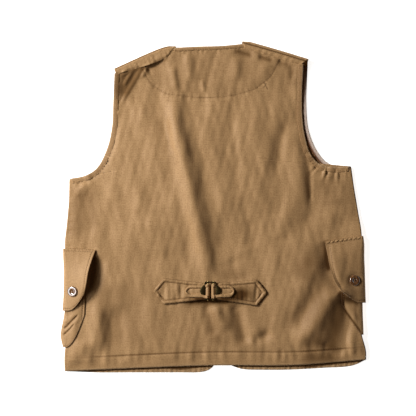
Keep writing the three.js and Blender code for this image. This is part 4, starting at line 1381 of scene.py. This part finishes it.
    def _facing(self, c: Array, share: Array) -> Array:
        """Places on the strip on the inner face of the front's armhole: c across it, share along it."""
        edge, inward = beside_edge(self.outer, blend(UNDERARM + 0.01, 0.985, share), self.side.value)
        plan = edge + inward * (BINDING_WIDTH * c)[:, None]
        z = front_height(plan[:, 0], plan[:, 1]) + CLOTH / 2 + 0.8 + 0.7 * np.sin(c * math.pi) ** 0.7
        return joined(plan[:, 0], plan[:, 1], z)


@dataclass(frozen=True)
class Row:
    """A section of a pocket or flap, from the back round the side to under the front.

    It starts at inner, inner_y on the back, reaches the side at side_y, swells by bulge, stands out by nose
    at the side and stands free of the back by free at its inner edge.
    """

    inner: float
    inner_y: float
    side_y: float
    bulge: float
    nose: float
    free: float = 0.0


@dataclass(frozen=True)
class PocketShape:
    """One side's pocket and flap: their sections from first to last, and what is particular to them.

    straight is how straight the sections run, rope and twist are the height of the seam along the flap's top
    and of its twists, dimple is how deep the button at its place pulls the flap in, edge_dark is the width of
    the painted dark edge and shade the painted shade all over the flap.
    """

    pocket_rows: tuple[Row, ...]
    flap_rows: tuple[Row, ...]
    pleats: tuple[Fold, ...]
    straight: float
    rope: float
    twist: float
    dimple: float
    button: Pair
    edge_dark: float
    shade: float


POCKETS = {
    Side.LEFT: PocketShape(
        pocket_rows=(
            Row(-257, -215, -281, 0.15, 4, 0.2), Row(-256, -190, -253, 0.75, 12, 0.4),
            Row(-255, -160, -205, 1, 6, 0.6), Row(-254, -122, -122, 0.68, 4, 0.6),
        ),
        flap_rows=(
            Row(-235, -87, -84, 0, 3), Row(-242, -106, -108, 2.0, 5.5, 9), Row(-249, -130, -138, 3.0, 7, 16),
            Row(-253, -154, -175, 3.2, 8.5, 16.5), Row(-257.5, -174, -208, 3.2, 10.5, 11),
        ),
        pleats=(
            Fold(((-268, -214), (-282, -228), (-299, -246)), 1.9, 2.2, -2.0, 0.2),
            Fold(((-266, -222), (-280, -236), (-297, -252)), 3.0, 3.0, 0.7, 0.25),
            Fold(((-276, -232), (-286, -244), (-300, -258)), 1.8, 2.0, -1.8, 0.2),
            Fold(((-276, -214), (-290, -226), (-300, -234)), 3.0, 3.0, 0.5, 0.25),
        ),
        straight=0.0, rope=0.5, twist=0.35, dimple=0.6, button=(-280.5, -169.0), edge_dark=1.6, shade=0.04,
    ),
    Side.RIGHT: PocketShape(
        pocket_rows=(
            Row(256, -196, -256, 0.1, 3, 1.5), Row(255, -172, -230, 0.4, 8, 3),
            Row(254, -140, -180, 0.6, 9, 3), Row(252, -100, -97, 0.4, 6, 3),
        ),
        flap_rows=(
            Row(222, -70, -59, 0, 2), Row(227, -94, -84, 2.0, 7, 6), Row(233, -124, -118, 2.6, 11.5, 10),
            Row(241, -148, -156, 2.6, 14, 14), Row(254, -168, -192, 2.6, 15.5, 15),
        ),
        pleats=(Fold(((280, -194), (285, -214), (292, -234)), 5, 5, -0.8, 0.3),),
        straight=0.85, rope=1.3, twist=0.8, dimple=2.2, button=(281.0, -147.0), edge_dark=2.2, shade=0.12,
    ),
}


@dataclass
class Wrap:
    """A piece of cloth that runs from the back round the side fold to under the front."""

    side: Side
    rows: Sequence[Row]
    drape: Drape
    back_leg: float = 0.4  # share of the way round at which it reaches the side
    nose_end: float = 0.65  # share at which its leg under the front begins
    length: float = 115.0  # from its first row to its last
    border: float = 0.6  # depth of the stitched groove, and strength of the painted shade along the edge
    groove: float = 1.1
    near_side: float = 0.9  # share of the leg over the back from which its slope at the side is taken
    taut: bool = False  # spans the back's hollows

    def __post_init__(self) -> None:
        """Looks up the shape and the side's outline."""
        self.shape = POCKETS[self.side]
        self._edge = Line(HALVES[self.side].side).samples

    def value(self, column: str, t: Array) -> Array:
        """A column of the rows at t from 0 to 1, smooth between rows."""
        table = np.array([getattr(row, column) for row in self.rows], float)
        last = len(table) - 1
        place = np.clip(t, 0, 1) * last
        row = np.minimum(place.astype(int), last - 1)
        part = place - row
        before, start = table[np.maximum(row - 1, 0)], table[row]
        end, after = table[row + 1], table[np.minimum(row + 2, last)]
        return (
            (2 * part ** 3 - 3 * part ** 2 + 1) * start
            + (part ** 3 - 2 * part ** 2 + part) * (end - before) / 2
            + (3 * part ** 2 - 2 * part ** 3) * end
            + (part ** 3 - part ** 2) * (after - start) / 2
        )

    def side_x(self, y: Array) -> Array:
        """Where the side fold is at these heights up the back."""
        return np.interp(y, self._edge[:, 1], self._edge[:, 0])

    def stand_off(self, t: Array, f: Array) -> Array:
        """Height above the back, where f runs from the inner edge to the side."""
        raise NotImplementedError

    def floor_height(self, t: Array, f: Array, x: Array, y: Array) -> Array:
        """Height of the leg under the front."""
        raise NotImplementedError

    def crease(self, x: Array, y: Array) -> Array:
        """Fine relief on the leg over the back."""
        raise NotImplementedError

    def margin(self, s: Array, t: Array) -> Array:
        """Distance from the nearest edge that is stitched."""
        raise NotImplementedError

    def soiled(self, s: Array, t: Array, places: Array) -> Array:
        """Painted shade at the edge and along the row of stitches inside it."""
        margin = self.margin(s, t)
        return self.border * (1.5 * bell(margin, self.shape.edge_dark) + bell(margin - STITCH_INSET, 1.0))

    def inset(self, s: Array, t: Array) -> Array:
        """Distance from the inner edge, over the back."""
        return s / self.back_leg * np.abs(self.side_x(self.value("side_y", t)) - self.value("inner", t))

    def welt(self, s: Array, t: Array) -> Array:
        """Relief of the piece's own seams."""
        return -self.border * bell(self.margin(s, t) - STITCH_INSET, self.groove)

    def surface(self, s: Array, t: Array) -> Array:
        """Places on the piece's middle surface: s runs round the side, t from row to row."""
        inner, nose = self.value("inner", t), self.value("nose", t)
        inner_y, side_y = self.value("inner_y", t), self.value("side_y", t)
        edge_x = self.side_x(side_y)
        on_back, on_nose = s <= self.back_leg, (s > self.back_leg) & (s < self.nose_end)
        f = np.where(on_back, s / self.back_leg, np.where(on_nose, 1.0, (1 - s) / (1 - self.nose_end)))
        f = np.clip(f, 0, 1)
        y = inner_y + (side_y - inner_y) * blend(np.sin(f * math.pi / 2), f, self.shape.straight)
        x_back = blend(inner, edge_x, f)
        x_front = edge_x - self.side.value * FRONT_REACH * (1 - f)
        under = self.drape.height(x_back, y)
        if self.taut:
            ends = [self.drape.height(x, up, fine=False) for x, up in ((inner, inner_y), (edge_x, side_y))]
            under = kept_above(blend(*ends, f), under)
        angle = np.clip((s - self.back_leg) / (self.nose_end - self.back_leg), 0, 1) * math.pi
        x_nose = edge_x + self.side.value * nose * np.sin(angle)
        relief = self.crease(np.where(on_nose, x_nose, x_back), y)
        top = under + LAYER + self.stand_off(t, f) + relief + self.welt(s, t)
        bottom = self.floor_height(t, f, x_front, y)
        before = blend(inner, edge_x, self.near_side)
        near = self.drape.height(before, side_y, fine=False)
        near = near + LAYER + self.stand_off(t, np.full_like(f, self.near_side))
        slope = (near - top) / np.abs(edge_x - before)
        z = (top + bottom) / 2 + (top - bottom) / 2 * np.cos(angle)
        z = z - slope * nose * np.sin(angle) * (1 + np.cos(angle)) / 2
        x = np.where(on_back, x_back, np.where(on_nose, x_nose, x_front))
        z = np.where(on_back, top, np.where(on_nose, z, bottom))
        return joined(x, y, z)


@dataclass
class Pocket(Wrap):
    """A patch pocket, sewn along its inner edge and foot, open at its mouth under the flap."""

    fullness: float = 1.5  # how soon its bulge falls off towards its edges
    pleat_shade: float = 0.35

    def stand_off(self, t: Array, f: Array) -> Array:
        """Height above the back."""
        bulge = POCKET_BULGE * self.value("bulge", t) * np.sin(f * math.pi) ** self.fullness
        return bulge + self.value("free", t) * (1 - f) + SEAM_GAP

    def crease(self, x: Array, y: Array) -> Array:
        """Pleats that run from the pocket's face to its outer corner."""
        return sum(fold.rise(x, y) for fold in self.shape.pleats)

    def margin(self, s: Array, t: Array) -> Array:
        """Distance from the sewn edge or the foot."""
        return np.minimum(self.inset(s, t), self.length * t)

    def soiled(self, s: Array, t: Array, places: Array) -> Array:
        """Painted shade at its edge and stitches, in its pleats and under the flap."""
        x, y = places[:, 0], places[:, 1]
        pleats = self.pleat_shade * np.maximum(0, -self.crease(x, y))
        return super().soiled(s, t, places) + pleats + sum(fold.rise(x, y) for fold in POCKET_SHADE)

    def floor_height(self, t: Array, f: Array, x: Array, y: Array) -> Array:
        """Height of the leg under the front."""
        sewn = front_height(x, y) - LAYER - SEAM_GAP
        opened = ease(t, 0, 0.3) * ease(f, 0, 0.35)
        return np.maximum(CLOTH / 2 + LAYER, blend(sewn, CLOTH / 2 + LAYER, opened))


@dataclass
class Flap(Wrap):
    """A flap over a pocket's mouth, sewn along its top and free below."""

    border: float = 0.22
    taut: bool = True
    rope_run: float = 125.0  # length of the roped seam
    rope_pitch: float = 6.0
    rope_lean: float = 9.0
    rope_place: float = 4.5
    rope_width: float = 2.6
    dimple_reach: float = 13.0

    def stand_off(self, t: Array, f: Array) -> Array:
        """Height above the back."""
        return blend(self.value("free", t), self.value("bulge", t), f ** 0.9)

    def margin(self, s: Array, t: Array) -> Array:
        """Distance from the free edge."""
        return np.minimum(self.inset(s, t), self.length * (1 - t))

    def soiled(self, s: Array, t: Array, places: Array) -> Array:
        """Painted shade at its edge and stitches, and a little all over."""
        return super().soiled(s, t, places) + self.shape.shade

    def welt(self, s: Array, t: Array) -> Array:
        """The stitched border, and the roped seam along the top."""
        down = self.length * t
        turns = s * self.rope_run / self.rope_pitch + down / self.rope_lean
        rope = self.shape.rope + self.shape.twist * np.sin(2 * math.pi * turns)
        return super().welt(s, t) + rope * bell(down - self.rope_place, self.rope_width)

    def crease(self, x: Array, y: Array) -> Array:
        """The dimple that the button pulls into the flap."""
        away = np.hypot(x - self.shape.button[0], y - self.shape.button[1])
        return -self.shape.dimple * np.exp(-(away / self.dimple_reach) ** 4)

    def floor_height(self, t: Array, f: Array, x: Array, y: Array) -> Array:
        """Height of the leg under the front."""
        sewn = front_height(x, y) - LAYER - 3 * SEAM_GAP
        return blend(sewn, CLOTH / 2, ease(t, 0, 0.22))


@dataclass
class SidePocket:
    """A side pocket with its flap, button and stitching."""

    side: Side
    drape: Drape
    cut_width: float = 215.0
    pocket_length: float = 150.0
    pocket_area: float = 28000.0
    flap_length: float = 122.0
    flap_area: float = 24500.0
    flap_thickness: float = 1.9
    flap_stitch_rise: float = 1.3
    pocket_stitch_rise: float = CLOTH / 2 + 0.2

    def __post_init__(self) -> None:
        """Makes the surfaces of pocket and flap, and seats the button."""
        self.pocket = Pocket(self.side, POCKETS[self.side].pocket_rows, self.drape)
        self.flap = Flap(self.side, POCKETS[self.side].flap_rows, self.drape)
        self.button = Button(self.side, self.flap)

    def build(self, wardrobe: Wardrobe) -> None:
        """Makes the pocket's pieces."""
        word = self.side.word
        round_way = np.concatenate([
            np.linspace(0, 0.1, 18), np.linspace(0.107, 0.4, 42), np.linspace(0.41, 0.65, 22),
            np.linspace(0.67, 1, 20),
        ])
        for kind, wrap, node, length, area, thickness, rows in (
            ("pocket", self.pocket, "pocket", self.pocket_length, self.pocket_area, CLOTH,
             self._pocket_rows()),
            ("flap", self.flap, "pocket_flap", self.flap_length, self.flap_area, self.flap_thickness,
             self._flap_rows()),
        ):
            Cloth(
                f"{kind}_cloth_{word}", round_way, evenly(90), wrap.surface,
                lambda s, t, length=length: joined(s * 200, t * length),
                Finish(wardrobe.cloth, "twill", (f"{node}_{word}",)), cut=(self.cut_width, length), area=area,
                thickness=thickness, soiled=wrap.soiled, held="folded",
            ).make()
            Stitches(f"{kind}_stitches_{word}", Finish(wardrobe.thread, "twill"), rows).make()
        self.button.build(wardrobe)

    def _flap_rows(self) -> list[Array]:
        """Two rows of stitches at the flap's top and one along its free edge."""
        across = np.linspace(0.02, 0.62, 60)
        rows = [(across, np.full_like(across, t)) for t in (0.012, 0.07)]
        down, out = np.linspace(0.06, 0.955, 50), np.linspace(0.06, 0.6, 50)
        rows.append((
            np.concatenate([np.full_like(down, 0.045), out]), np.concatenate([down, np.full_like(out, 0.955)])
        ))
        return [lifted(self.flap.surface, s, t, self.flap_stitch_rise) for s, t in rows]

    def _pocket_rows(self) -> list[Array]:
        """One row of stitches along the pocket's sewn edge and foot."""
        down, out = np.linspace(0.7, 0.05, 40), np.linspace(0.06, 0.6, 40)
        s = np.concatenate([np.full_like(down, 0.048), out])
        t = np.concatenate([down, np.full_like(out, 0.035)])
        return [lifted(self.pocket.surface, s, t, self.pocket_stitch_rise)]


@dataclass
class Button:
    """A turned four-hole button sewn through the flap; its profile is given as radii and heights."""

    side: Side
    flap: Flap
    profile: Points = (
        (4.3, 2.3), (4.8, 2.6), (5.3, 3.1), (5.9, 3.3), (8.9, 3.3), (9.6, 3.1), (10.2, 2.5), (10.5, 1.7),
        (10.2, 0.9), (9.4, 0.3), (7.4, 0.0), (0.0, 0.0),
    )
    segments: int = 48
    hole_count: int = 4
    hole_radius: float = 0.95
    hole_ring: float = 2.2
    hole_depth: float = 1.7
    hole_segments: int = 16
    seat_rise: float = 1.3
    thread_height: float = 2.2
    thread_over: float = 0.6  # how far the thread reaches past the middle of a hole
    thread_radius: float = 0.7

    def __post_init__(self) -> None:
        """Finds the button's seat on the flap."""
        x, y = self.flap.shape.button
        s, t = (g.ravel() for g in np.meshgrid(np.linspace(0.01, 0.39, 120), np.linspace(0.02, 0.98, 120)))
        places = self.flap.surface(s, t)
        best = np.hypot(places[:, 0] - x, places[:, 1] - y).argmin()
        here = slice(best, best + 1)
        seat, above = (lifted(self.flap.surface, s[here], t[here], rise)[0] for rise in (0.0, 1.0))
        self.normal = Vector(above - seat).normalized()
        self.seat = Vector(seat) + self.normal * self.seat_rise

    def build(self, wardrobe: Wardrobe) -> None:
        """Makes the button and the thread through its holes."""
        turn = Matrix.Translation(self.seat) @ self.normal.to_track_quat("Z", "Y").to_matrix().to_4x4()
        bm = bmesh.new()
        rim = [bm.verts.new((r, 0, z)) for r, z in self.profile]
        edges = [bm.edges.new(pair) for pair in zip(rim, rim[1:])]
        bmesh.ops.spin(
            bm, geom=rim + edges, cent=(0, 0, 0), axis=(0, 0, 1), angle=2 * math.pi, steps=self.segments,
            use_merge=True,
        )
        bmesh.ops.remove_doubles(bm, verts=bm.verts, dist=1e-3)
        dish = [e for e in bm.edges if e.is_boundary]
        holes = []
        for index in range(self.hole_count):
            angle = 2 * math.pi * (index + 0.5) / self.hole_count
            centre = (self.hole_ring * math.cos(angle), self.hole_ring * math.sin(angle), self.profile[0][1])
            ring = bmesh.ops.create_circle(
                bm, segments=self.hole_segments, radius=self.hole_radius, matrix=Matrix.Translation(centre)
            )["verts"]
            holes += dict.fromkeys(e for v in ring for e in v.link_edges)
        bmesh.ops.triangle_fill(bm, use_beauty=True, edges=dish + holes)
        walls = bmesh.ops.extrude_edge_only(bm, edges=holes)["geom"]
        sunk = [g for g in walls if isinstance(g, bmesh.types.BMVert)]
        bmesh.ops.translate(bm, vec=(0, 0, -self.hole_depth), verts=sunk)
        bmesh.ops.recalc_face_normals(bm, faces=bm.faces)
        bmesh.ops.transform(bm, matrix=turn, verts=bm.verts)
        word = self.side.word
        finish_piece(bm, f"button_{word}", Finish(wardrobe.horn, "horn", (f"flap_button_{word}",)))
        ring = self.hole_ring * math.sqrt(0.5)
        reach = ring + self.thread_over
        rows = [
            np.array([turn @ Vector((across * ring, y, self.thread_height)) for y in (-reach, reach)])
            for across in (-1, 1)
        ]
        thread = Finish(wardrobe.thread, "twill")
        Stitches(
            f"button_thread_{word}", thread, rows, pitch=4 * reach, share=1.0, radius=self.thread_radius
        ).make()
        log.info("button_%s at %s facing %s", word, tuple(self.seat), tuple(self.normal))


@dataclass(frozen=True)
class Dent:
    """A place where a strap is pressed in and darkened with painted shade."""

    place: Pair
    size: Pair
    depth: float

    def share(self, x: Array, y: Array) -> Array:
        """1 in the middle of the dent, falling to 0 round it."""
        return bell(x - self.place[0], self.size[0]) * bell(y - self.place[1], self.size[1])


@dataclass(frozen=True)
class StrapShape:
    """Plan of a strap: its sewn point, its widest place, where its folded-back end stops, and its dents."""

    tip: float
    shoulder: float
    tip_y: float
    wide_y: float
    tail_end: float
    dents: tuple[Dent, ...]


STRAPS = {
    Side.LEFT: StrapShape(-120, -99, -168.6, -169, -56, (Dent((-24, -184), (24, 4.5), 0.0),)),
    Side.RIGHT: StrapShape(
        105, 86, -172, -172, 41, (Dent((55, -175), (22, 14), 0.9), Dent((24, -184), (20, 4.5), 0.0))
    ),
}


@dataclass
class Buckle:
    """The buckle: an oval plate with a window, and two bars with rounded ends that the straps go round.

    The ovals are given as half width, half height and squareness.
    """

    drape: Drape
    bar_radius: float = 1.5
    bar_spacing: float = 10.8
    bar_length: float = 40.0
    bar_round: float = 1.0
    lift: float = 2.3  # of the straps' loops above the back
    plate_ovals: tuple[tuple[float, float, float], ...] = ((21.2, 16.0, 1.8), (12.4, 18.4, 9.0))
    window_ovals: tuple[tuple[float, float, float], ...] = ((10.5, 15.5, 7.0),)
    plate_thickness: float = 1.9
    plate_round: float = 0.55
    plate_segments: int = 64
    bar_segments: int = 20
    bar_wear: float = 0.75

    def __post_init__(self) -> None:
        """Sets the heights of the straps' loops, the bars and the plate over the back."""
        x, y = (np.array([c]) for c in BUCKLE_PLACE)
        self.floor = float(self.drape.height(x, y, fine=False)[0]) + LAYER + self.lift
        self.loop_radius = self.bar_radius + SEAM_GAP + CLOTH / 2
        self.bar_height = self.floor + self.loop_radius
        self.plate_bottom = self.floor + LAYER + CLOTH / 2 + 2 * SEAM_GAP

    def bar_x(self, side: Side) -> float:
        """Where the bar on this side is."""
        return BUCKLE_PLACE[0] + side.value * self.bar_spacing / 2

    def build(self, wardrobe: Wardrobe) -> None:
        """Makes the plate and the bars."""
        for bm, name, nodes, worn in (
            (self._plate(), "buckle_plate", ("cinch_buckle",), 0.0),
            (self._bars(), "buckle_bars", (), self.bar_wear),
        ):
            bmesh.ops.translate(bm, vec=(*BUCKLE_PLACE, self.plate_bottom), verts=bm.verts)
            piece = finish_piece(bm, name, Finish(wardrobe.bronze, "bronze", nodes))
            count = len(piece.data.vertices)
            mark(piece, worn=np.full(count, worn))
            log.info("%s: %d points", name, count)

    def _plate(self) -> Shape:
        """The plate, centred, with its lower face at height 0."""
        bm = bmesh.new()
        for ovals, start in ((self.plate_ovals, 1.0), (self.window_ovals, 0.5)):
            for vert in bmesh.ops.create_circle(bm, segments=self.plate_segments, radius=start)["verts"]:
                angle = math.atan2(vert.co.y, vert.co.x)
                c, s = abs(math.cos(angle)), abs(math.sin(angle))
                reach = max(((c / a) ** n + (s / b) ** n) ** (-1 / n) for a, b, n in ovals)
                vert.co = (reach * math.cos(angle), reach * math.sin(angle), 0.0)
        bmesh.ops.bridge_loops(bm, edges=bm.edges)
        plate = bmesh.ops.extrude_face_region(bm, geom=bm.faces)["geom"]
        raised = [g for g in plate if isinstance(g, bmesh.types.BMVert)]
        bmesh.ops.translate(bm, vec=(0, 0, self.plate_thickness), verts=raised)
        bmesh.ops.recalc_face_normals(bm, faces=bm.faces)
        sharp = [e for e in bm.edges if len(e.link_faces) == 2 and e.calc_face_angle(0) > 0.8]
        self._rounded(bm, sharp, self.plate_round, 3)
        return bm

    def _bars(self) -> Shape:
        """The two bars, in the plate's own place."""
        bm = bmesh.new()
        for side in Side:
            place = (side.value * self.bar_spacing / 2, 0, self.bar_height - self.plate_bottom)
            laid = Matrix.Translation(place) @ Matrix.Rotation(math.pi / 2, 4, "X")
            bar = bmesh.ops.create_cone(
                bm, cap_ends=True, segments=self.bar_segments, radius1=self.bar_radius,
                radius2=self.bar_radius, depth=self.bar_length, matrix=laid,
            )["verts"]
            edges = dict.fromkeys(e for v in bar for e in v.link_edges)
            self._rounded(bm, [e for e in edges if e.calc_face_angle(0) > 1.0], self.bar_round, 4)
        return bm

    @staticmethod
    def _rounded(bm: Shape, edges: Sequence[bmesh.types.BMEdge], radius: float, steps: int) -> None:
        """Rounds these edges."""
        bmesh.ops.bevel(
            bm, geom=edges, offset=radius, offset_type="OFFSET", affect="EDGES", segments=steps, profile=0.5,
            material=-1,
        )


@dataclass
class Strap:
    """A waist strap, sewn to the back at its point and folded back round its bar of the buckle.

    Its way v runs from 0 at its point over point, where it is widest, base, where it meets the bar, and loop,
    where it leaves the bar again, to 1 at its folded-back end.
    """

    side: Side
    drape: Drape
    buckle: Buckle
    point: float = 0.12
    base: float = 0.5
    loop: float = 0.68
    wide: float = 51.0
    narrow: float = 30.0
    bar_narrow: float = 2.0  # how much narrower it is round the bar
    tail_width: float = 23.0
    tail_round: float = 0.7  # share of the tail at which its end begins to round
    blunt: float = 5.0  # width of its point
    line_drop: float = 1.0  # how far its middle runs below the buckle's
    gap: float = 0.9  # above the back
    thickness: float = 2.2
    loop_run: float = 5.5
    tail_gap: float = 0.3
    rim: tuple[float, float, float] = (1.5, 2.8, 2.8)  # height, inset and width of the puffed rim
    groove: Pair = (1.0, 1.7)  # depth and width of the stitched groove
    gape: float = 2.2  # of its lower edge beside the buckle
    cut: Pair = (50.0, 180.0)
    area: float = 5300.0
    stitch_pitch: float = 4.2
    stitch_rise: float = 1.2
    base_soil: float = 0.07
    dent_shade: float = 1.1

    def __post_init__(self) -> None:
        """Works out the slant of its point."""
        self.shape = STRAPS[self.side]
        self.run = abs(self.shape.shoulder - self.shape.tip)
        self.lean = self.run / math.hypot(self.run, self.wide / 2)

    def _plan(self, across: Array, v: Array) -> tuple[Array, Array, Array]:
        """Places of the strap seen from above.

        Args:
            across: From -0.5 to 0.5 over its width.
            v: Its way.

        Returns:
            Places across and up the back, and the strap's width there.
        """
        shape, bar_x, line_y = self.shape, self.buckle.bar_x(self.side), BUCKLE_PLACE[1] - self.line_drop
        tip, body = v / self.point, (v - self.point) / (self.base - self.point)
        tail = np.clip((v - self.loop) / (1 - self.loop), 0, 1)
        at_tip, on_base, on_tail = v < self.point, v <= self.base, v >= self.loop
        at_bar = self.narrow - self.bar_narrow
        round_end = np.sqrt(1 - np.clip((tail - self.tail_round) / (1 - self.tail_round), 0, 1) ** 2)
        tail_wide = blend(at_bar, self.tail_width, ease(tail, 0, 0.3)) * np.maximum(0.25, round_end)
        x = np.where(at_tip, blend(shape.tip, shape.shoulder, tip), blend(shape.shoulder, bar_x, body))
        y = np.where(at_tip, blend(shape.tip_y, shape.wide_y, tip), blend(shape.wide_y, line_y, body))
        wide = np.where(at_tip, blend(self.blunt, self.wide, tip), blend(self.wide, self.narrow, body))
        round_bar = bar_x - self.side.value * self.buckle.loop_radius * np.sin(self._turn(v))
        x = np.where(on_base, x, np.where(on_tail, blend(bar_x, shape.tail_end, tail), round_bar))
        wide = np.where(on_base, wide, np.where(on_tail, tail_wide, at_bar))
        return x, np.where(on_base, y, line_y) + across * wide, wide

    def _turn(self, v: Array) -> Array:
        """The angle gone round the bar."""
        return math.pi * np.clip((v - self.base) / (self.loop - self.base), 0, 1)

    def surface(self, u: Array, v: Array) -> Array:
        """Places on the strap: u across it, v along its way."""
        across = self.side.value * (0.5 - u)
        x, y, wide = self._plan(across, v)
        on_base, on_tail = v <= self.base, v >= self.loop
        from_bar = np.abs(x - self.buckle.bar_x(self.side))
        under = self.drape.height(x, y) + LAYER + self.gap
        low = blend(self.buckle.floor, under, ease(from_bar, 14, 40))
        from_tip = np.abs(x - self.shape.tip)
        point = (1 + self.wide / 2 * from_tip / self.run - np.abs(across) * wide) * self.lean
        border = np.minimum((0.5 - np.abs(across)) * wide, np.where(on_base, point, 99))
        pucker = Ripples(12 + self.side.value, 0.45, 13, stretch=4).at(x, y)
        low = low + (pucker + 0.25) * ease(from_bar, 18, 34) * ease(border, 1, 8)
        height, inset, width = self.rim
        tight = Ripples(16 + self.side.value, 0.22, 7, count=14).at(x, y)
        low = low + (height + tight) * bell(border - inset, width)
        low = low - self.groove[0] * bell(border - STRAP_INSET, self.groove[1])
        low = low + self.gape * (1 - ease(from_bar, 12, 46)) * ease(-across, 0.1, 0.5)
        low = low - sum(dent.depth * dent.share(x, y) for dent in self.shape.dents)
        over = blend(2 * self.buckle.loop_radius, LAYER + self.tail_gap, ease(from_bar, 0, self.loop_run))
        round_bar = self.buckle.bar_height - self.buckle.loop_radius * np.cos(self._turn(v))
        return joined(x, y, np.where(on_base, low, np.where(on_tail, low + over, round_bar)))

    def _soiled(self, u: Array, v: Array, places: Array) -> Array:
        """Painted shade along the stitched border and in the dents."""
        x, y = places[:, 0], places[:, 1]
        wide = blend(self.wide, self.narrow, np.clip((v - self.point) / (self.base - self.point), 0, 1))
        wide = np.where(v < self.point, self.wide * v / self.point, wide)
        point = self.wide / 2 * np.abs(x - self.shape.tip) / self.run - np.abs(u - 0.5) * wide
        border = np.minimum((0.5 - np.abs(u - 0.5)) * wide, point * self.lean)
        dark = 0.6 * bell(border - STRAP_INSET, 1.2) + 0.5 * bell(border, 0.9)
        dark = dark + self.dent_shade * sum(dent.share(x, y) for dent in self.shape.dents)
        return np.where(v <= self.base, dark, 0.0) + self.base_soil

    def build(self, wardrobe: Wardrobe) -> None:
        """Makes the strap and its stitching."""
        stops = (
            (0, self.point, 24), (self.point, self.base, 50),
            (self.base, self.loop, 17), (self.loop, 0.75, 14),
        )
        rows = [np.linspace(start, end, count)[:-1] for start, end, count in stops]
        word = self.side.word
        Cloth(
            f"strap_cloth_{word}", evenly(37), np.concatenate([*rows, np.linspace(0.75, 1, 34)]),
            self.surface, lambda u, v: joined(u * 40, v * 190),
            Finish(wardrobe.cloth, "twill", (f"cinch_strap_{word}",)), cut=self.cut, area=self.area,
            thickness=self.thickness, soiled=self._soiled, held="folded",
        ).make()
        body, tail = np.linspace(self.point + 0.02, self.base - 0.09, 40), np.linspace(0.79, 0.95, 16)
        swing = np.linspace(-1, 1, 17)
        lines = [
            *((np.full_like(body, u), body) for u in (0.14, 0.86)),
            (0.5 + 0.36 * swing, blend(0.05, self.point + 0.02, np.abs(swing))),
            *((np.full_like(tail, u), tail) for u in (0.16, 0.84)),
        ]
        Stitches(
            f"strap_stitches_{word}", Finish(wardrobe.thread, "twill"),
            [lifted(self.surface, u, v, self.stitch_rise) for u, v in lines], pitch=self.stitch_pitch,
        ).make()


@dataclass
class Studio:
    """The plain pale floor, the soft light from the left and the camera above; places are in metres."""

    px: float = 2.0  # millimetres of the vest to a pixel of the photograph
    frame_px: int = 416
    look_at: Pair = (-11.0, -3.0)  # in millimetres
    distance: float = 5.0
    sensor: float = 36.0
    floor_half: float = 4.0
    key_place: tuple[float, float, float] = (-2.8, 1.27, 1.9)
    key_size: float = 0.9
    key_power: float = 183.0
    card_distance: float = 1.7
    card_size: float = 0.7
    card_power: float = 8.0
    sky: Colour = (1, 0.72, 0.48, 1)
    sky_strength: float = 0.06

    def build(self, button: Button) -> None:
        """Makes floor, lights, world and camera, with a card that the given button mirrors to the camera."""
        bm = bmesh.new()
        bmesh.ops.create_grid(bm, x_segments=8, y_segments=8, size=self.floor_half)
        mesh = bpy.data.meshes.new("floor")
        bm.to_mesh(mesh)
        bm.free()
        floor = bpy.data.objects.new("floor", mesh)
        bpy.context.scene.collection.objects.link(floor)
        mesh.materials.append(Acrylic().material())
        self._light("key_softbox", self.key_place, self.key_size, self.key_power)
        mirrored = 2 * button.normal * button.normal.z - Vector((0, 0, 1))
        card = tuple(button.seat * MM + mirrored * self.card_distance)
        self._light("reflector_card", card, self.card_size, self.card_power)
        world = bpy.data.worlds.new("studio")
        world.use_nodes = True
        sky = world.node_tree.nodes["Background"]
        set_inputs(world.node_tree, sky, {"Color": self.sky, "Strength": self.sky_strength})
        bpy.context.scene.world = world
        bpy.context.scene.view_settings.view_transform = "Standard"
        self._camera()

    @staticmethod
    def _light(name: str, place: tuple[float, float, float], size: float, power: float) -> None:
        """Adds a square soft light that points at the vest."""
        data = bpy.data.lights.new(name, "AREA")
        data.energy, data.size = power, size
        light = bpy.data.objects.new(name, data)
        light.location = place
        light.rotation_euler = (-Vector(place)).to_track_quat("-Z", "Y").to_euler()
        bpy.context.scene.collection.objects.link(light)

    def _camera(self) -> None:
        """Adds the camera, straight above with a long lens."""
        data = bpy.data.cameras.new("camera")
        data.sensor_width = self.sensor
        data.lens = self.sensor * self.distance / (self.frame_px * self.px * MM)
        camera = bpy.data.objects.new("camera", data)
        camera.location = (self.look_at[0] * MM + SHIFT[0], self.look_at[1] * MM + SHIFT[1], self.distance)
        bpy.context.scene.collection.objects.link(camera)
        bpy.context.scene.camera = camera


def main() -> None:
    """Builds the vest piece by piece, then the studio, and notes the sizes."""
    logging.basicConfig(level=logging.INFO, format="%(name)s: %(message)s")
    wardrobe = Wardrobe()
    drape = Drape()
    back = Back(drape)
    back.build(wardrobe)
    for side in Side:
        EdgeStrip(
            f"armhole_strip_{side.word}", f"armhole_binding_{side.word}", back.sides[side],
            (UNDERARM + 0.001, 0.999), side.value, BINDING_WIDTH, 262.0, drape, tight=5.0,
        ).build(wardrobe)
    EdgeStrip(
        "neck_strip", "neck_binding", back.top, (NECK_START - 0.006, NECK_END + 0.012), -1,
        NECK_BINDING_WIDTH, 130.0, drape,
    ).build(wardrobe)
    pockets = {side: SidePocket(side, drape) for side in Side}
    for side in Side:
        Front(side).build(wardrobe)
        pockets[side].build(wardrobe)
    buckle = Buckle(drape)
    for side in Side:
        Strap(side, drape, buckle).build(wardrobe)
    buckle.build(wardrobe)
    Studio().build(pockets[Side.LEFT].button)


if __name__ == "__main__":
    main()
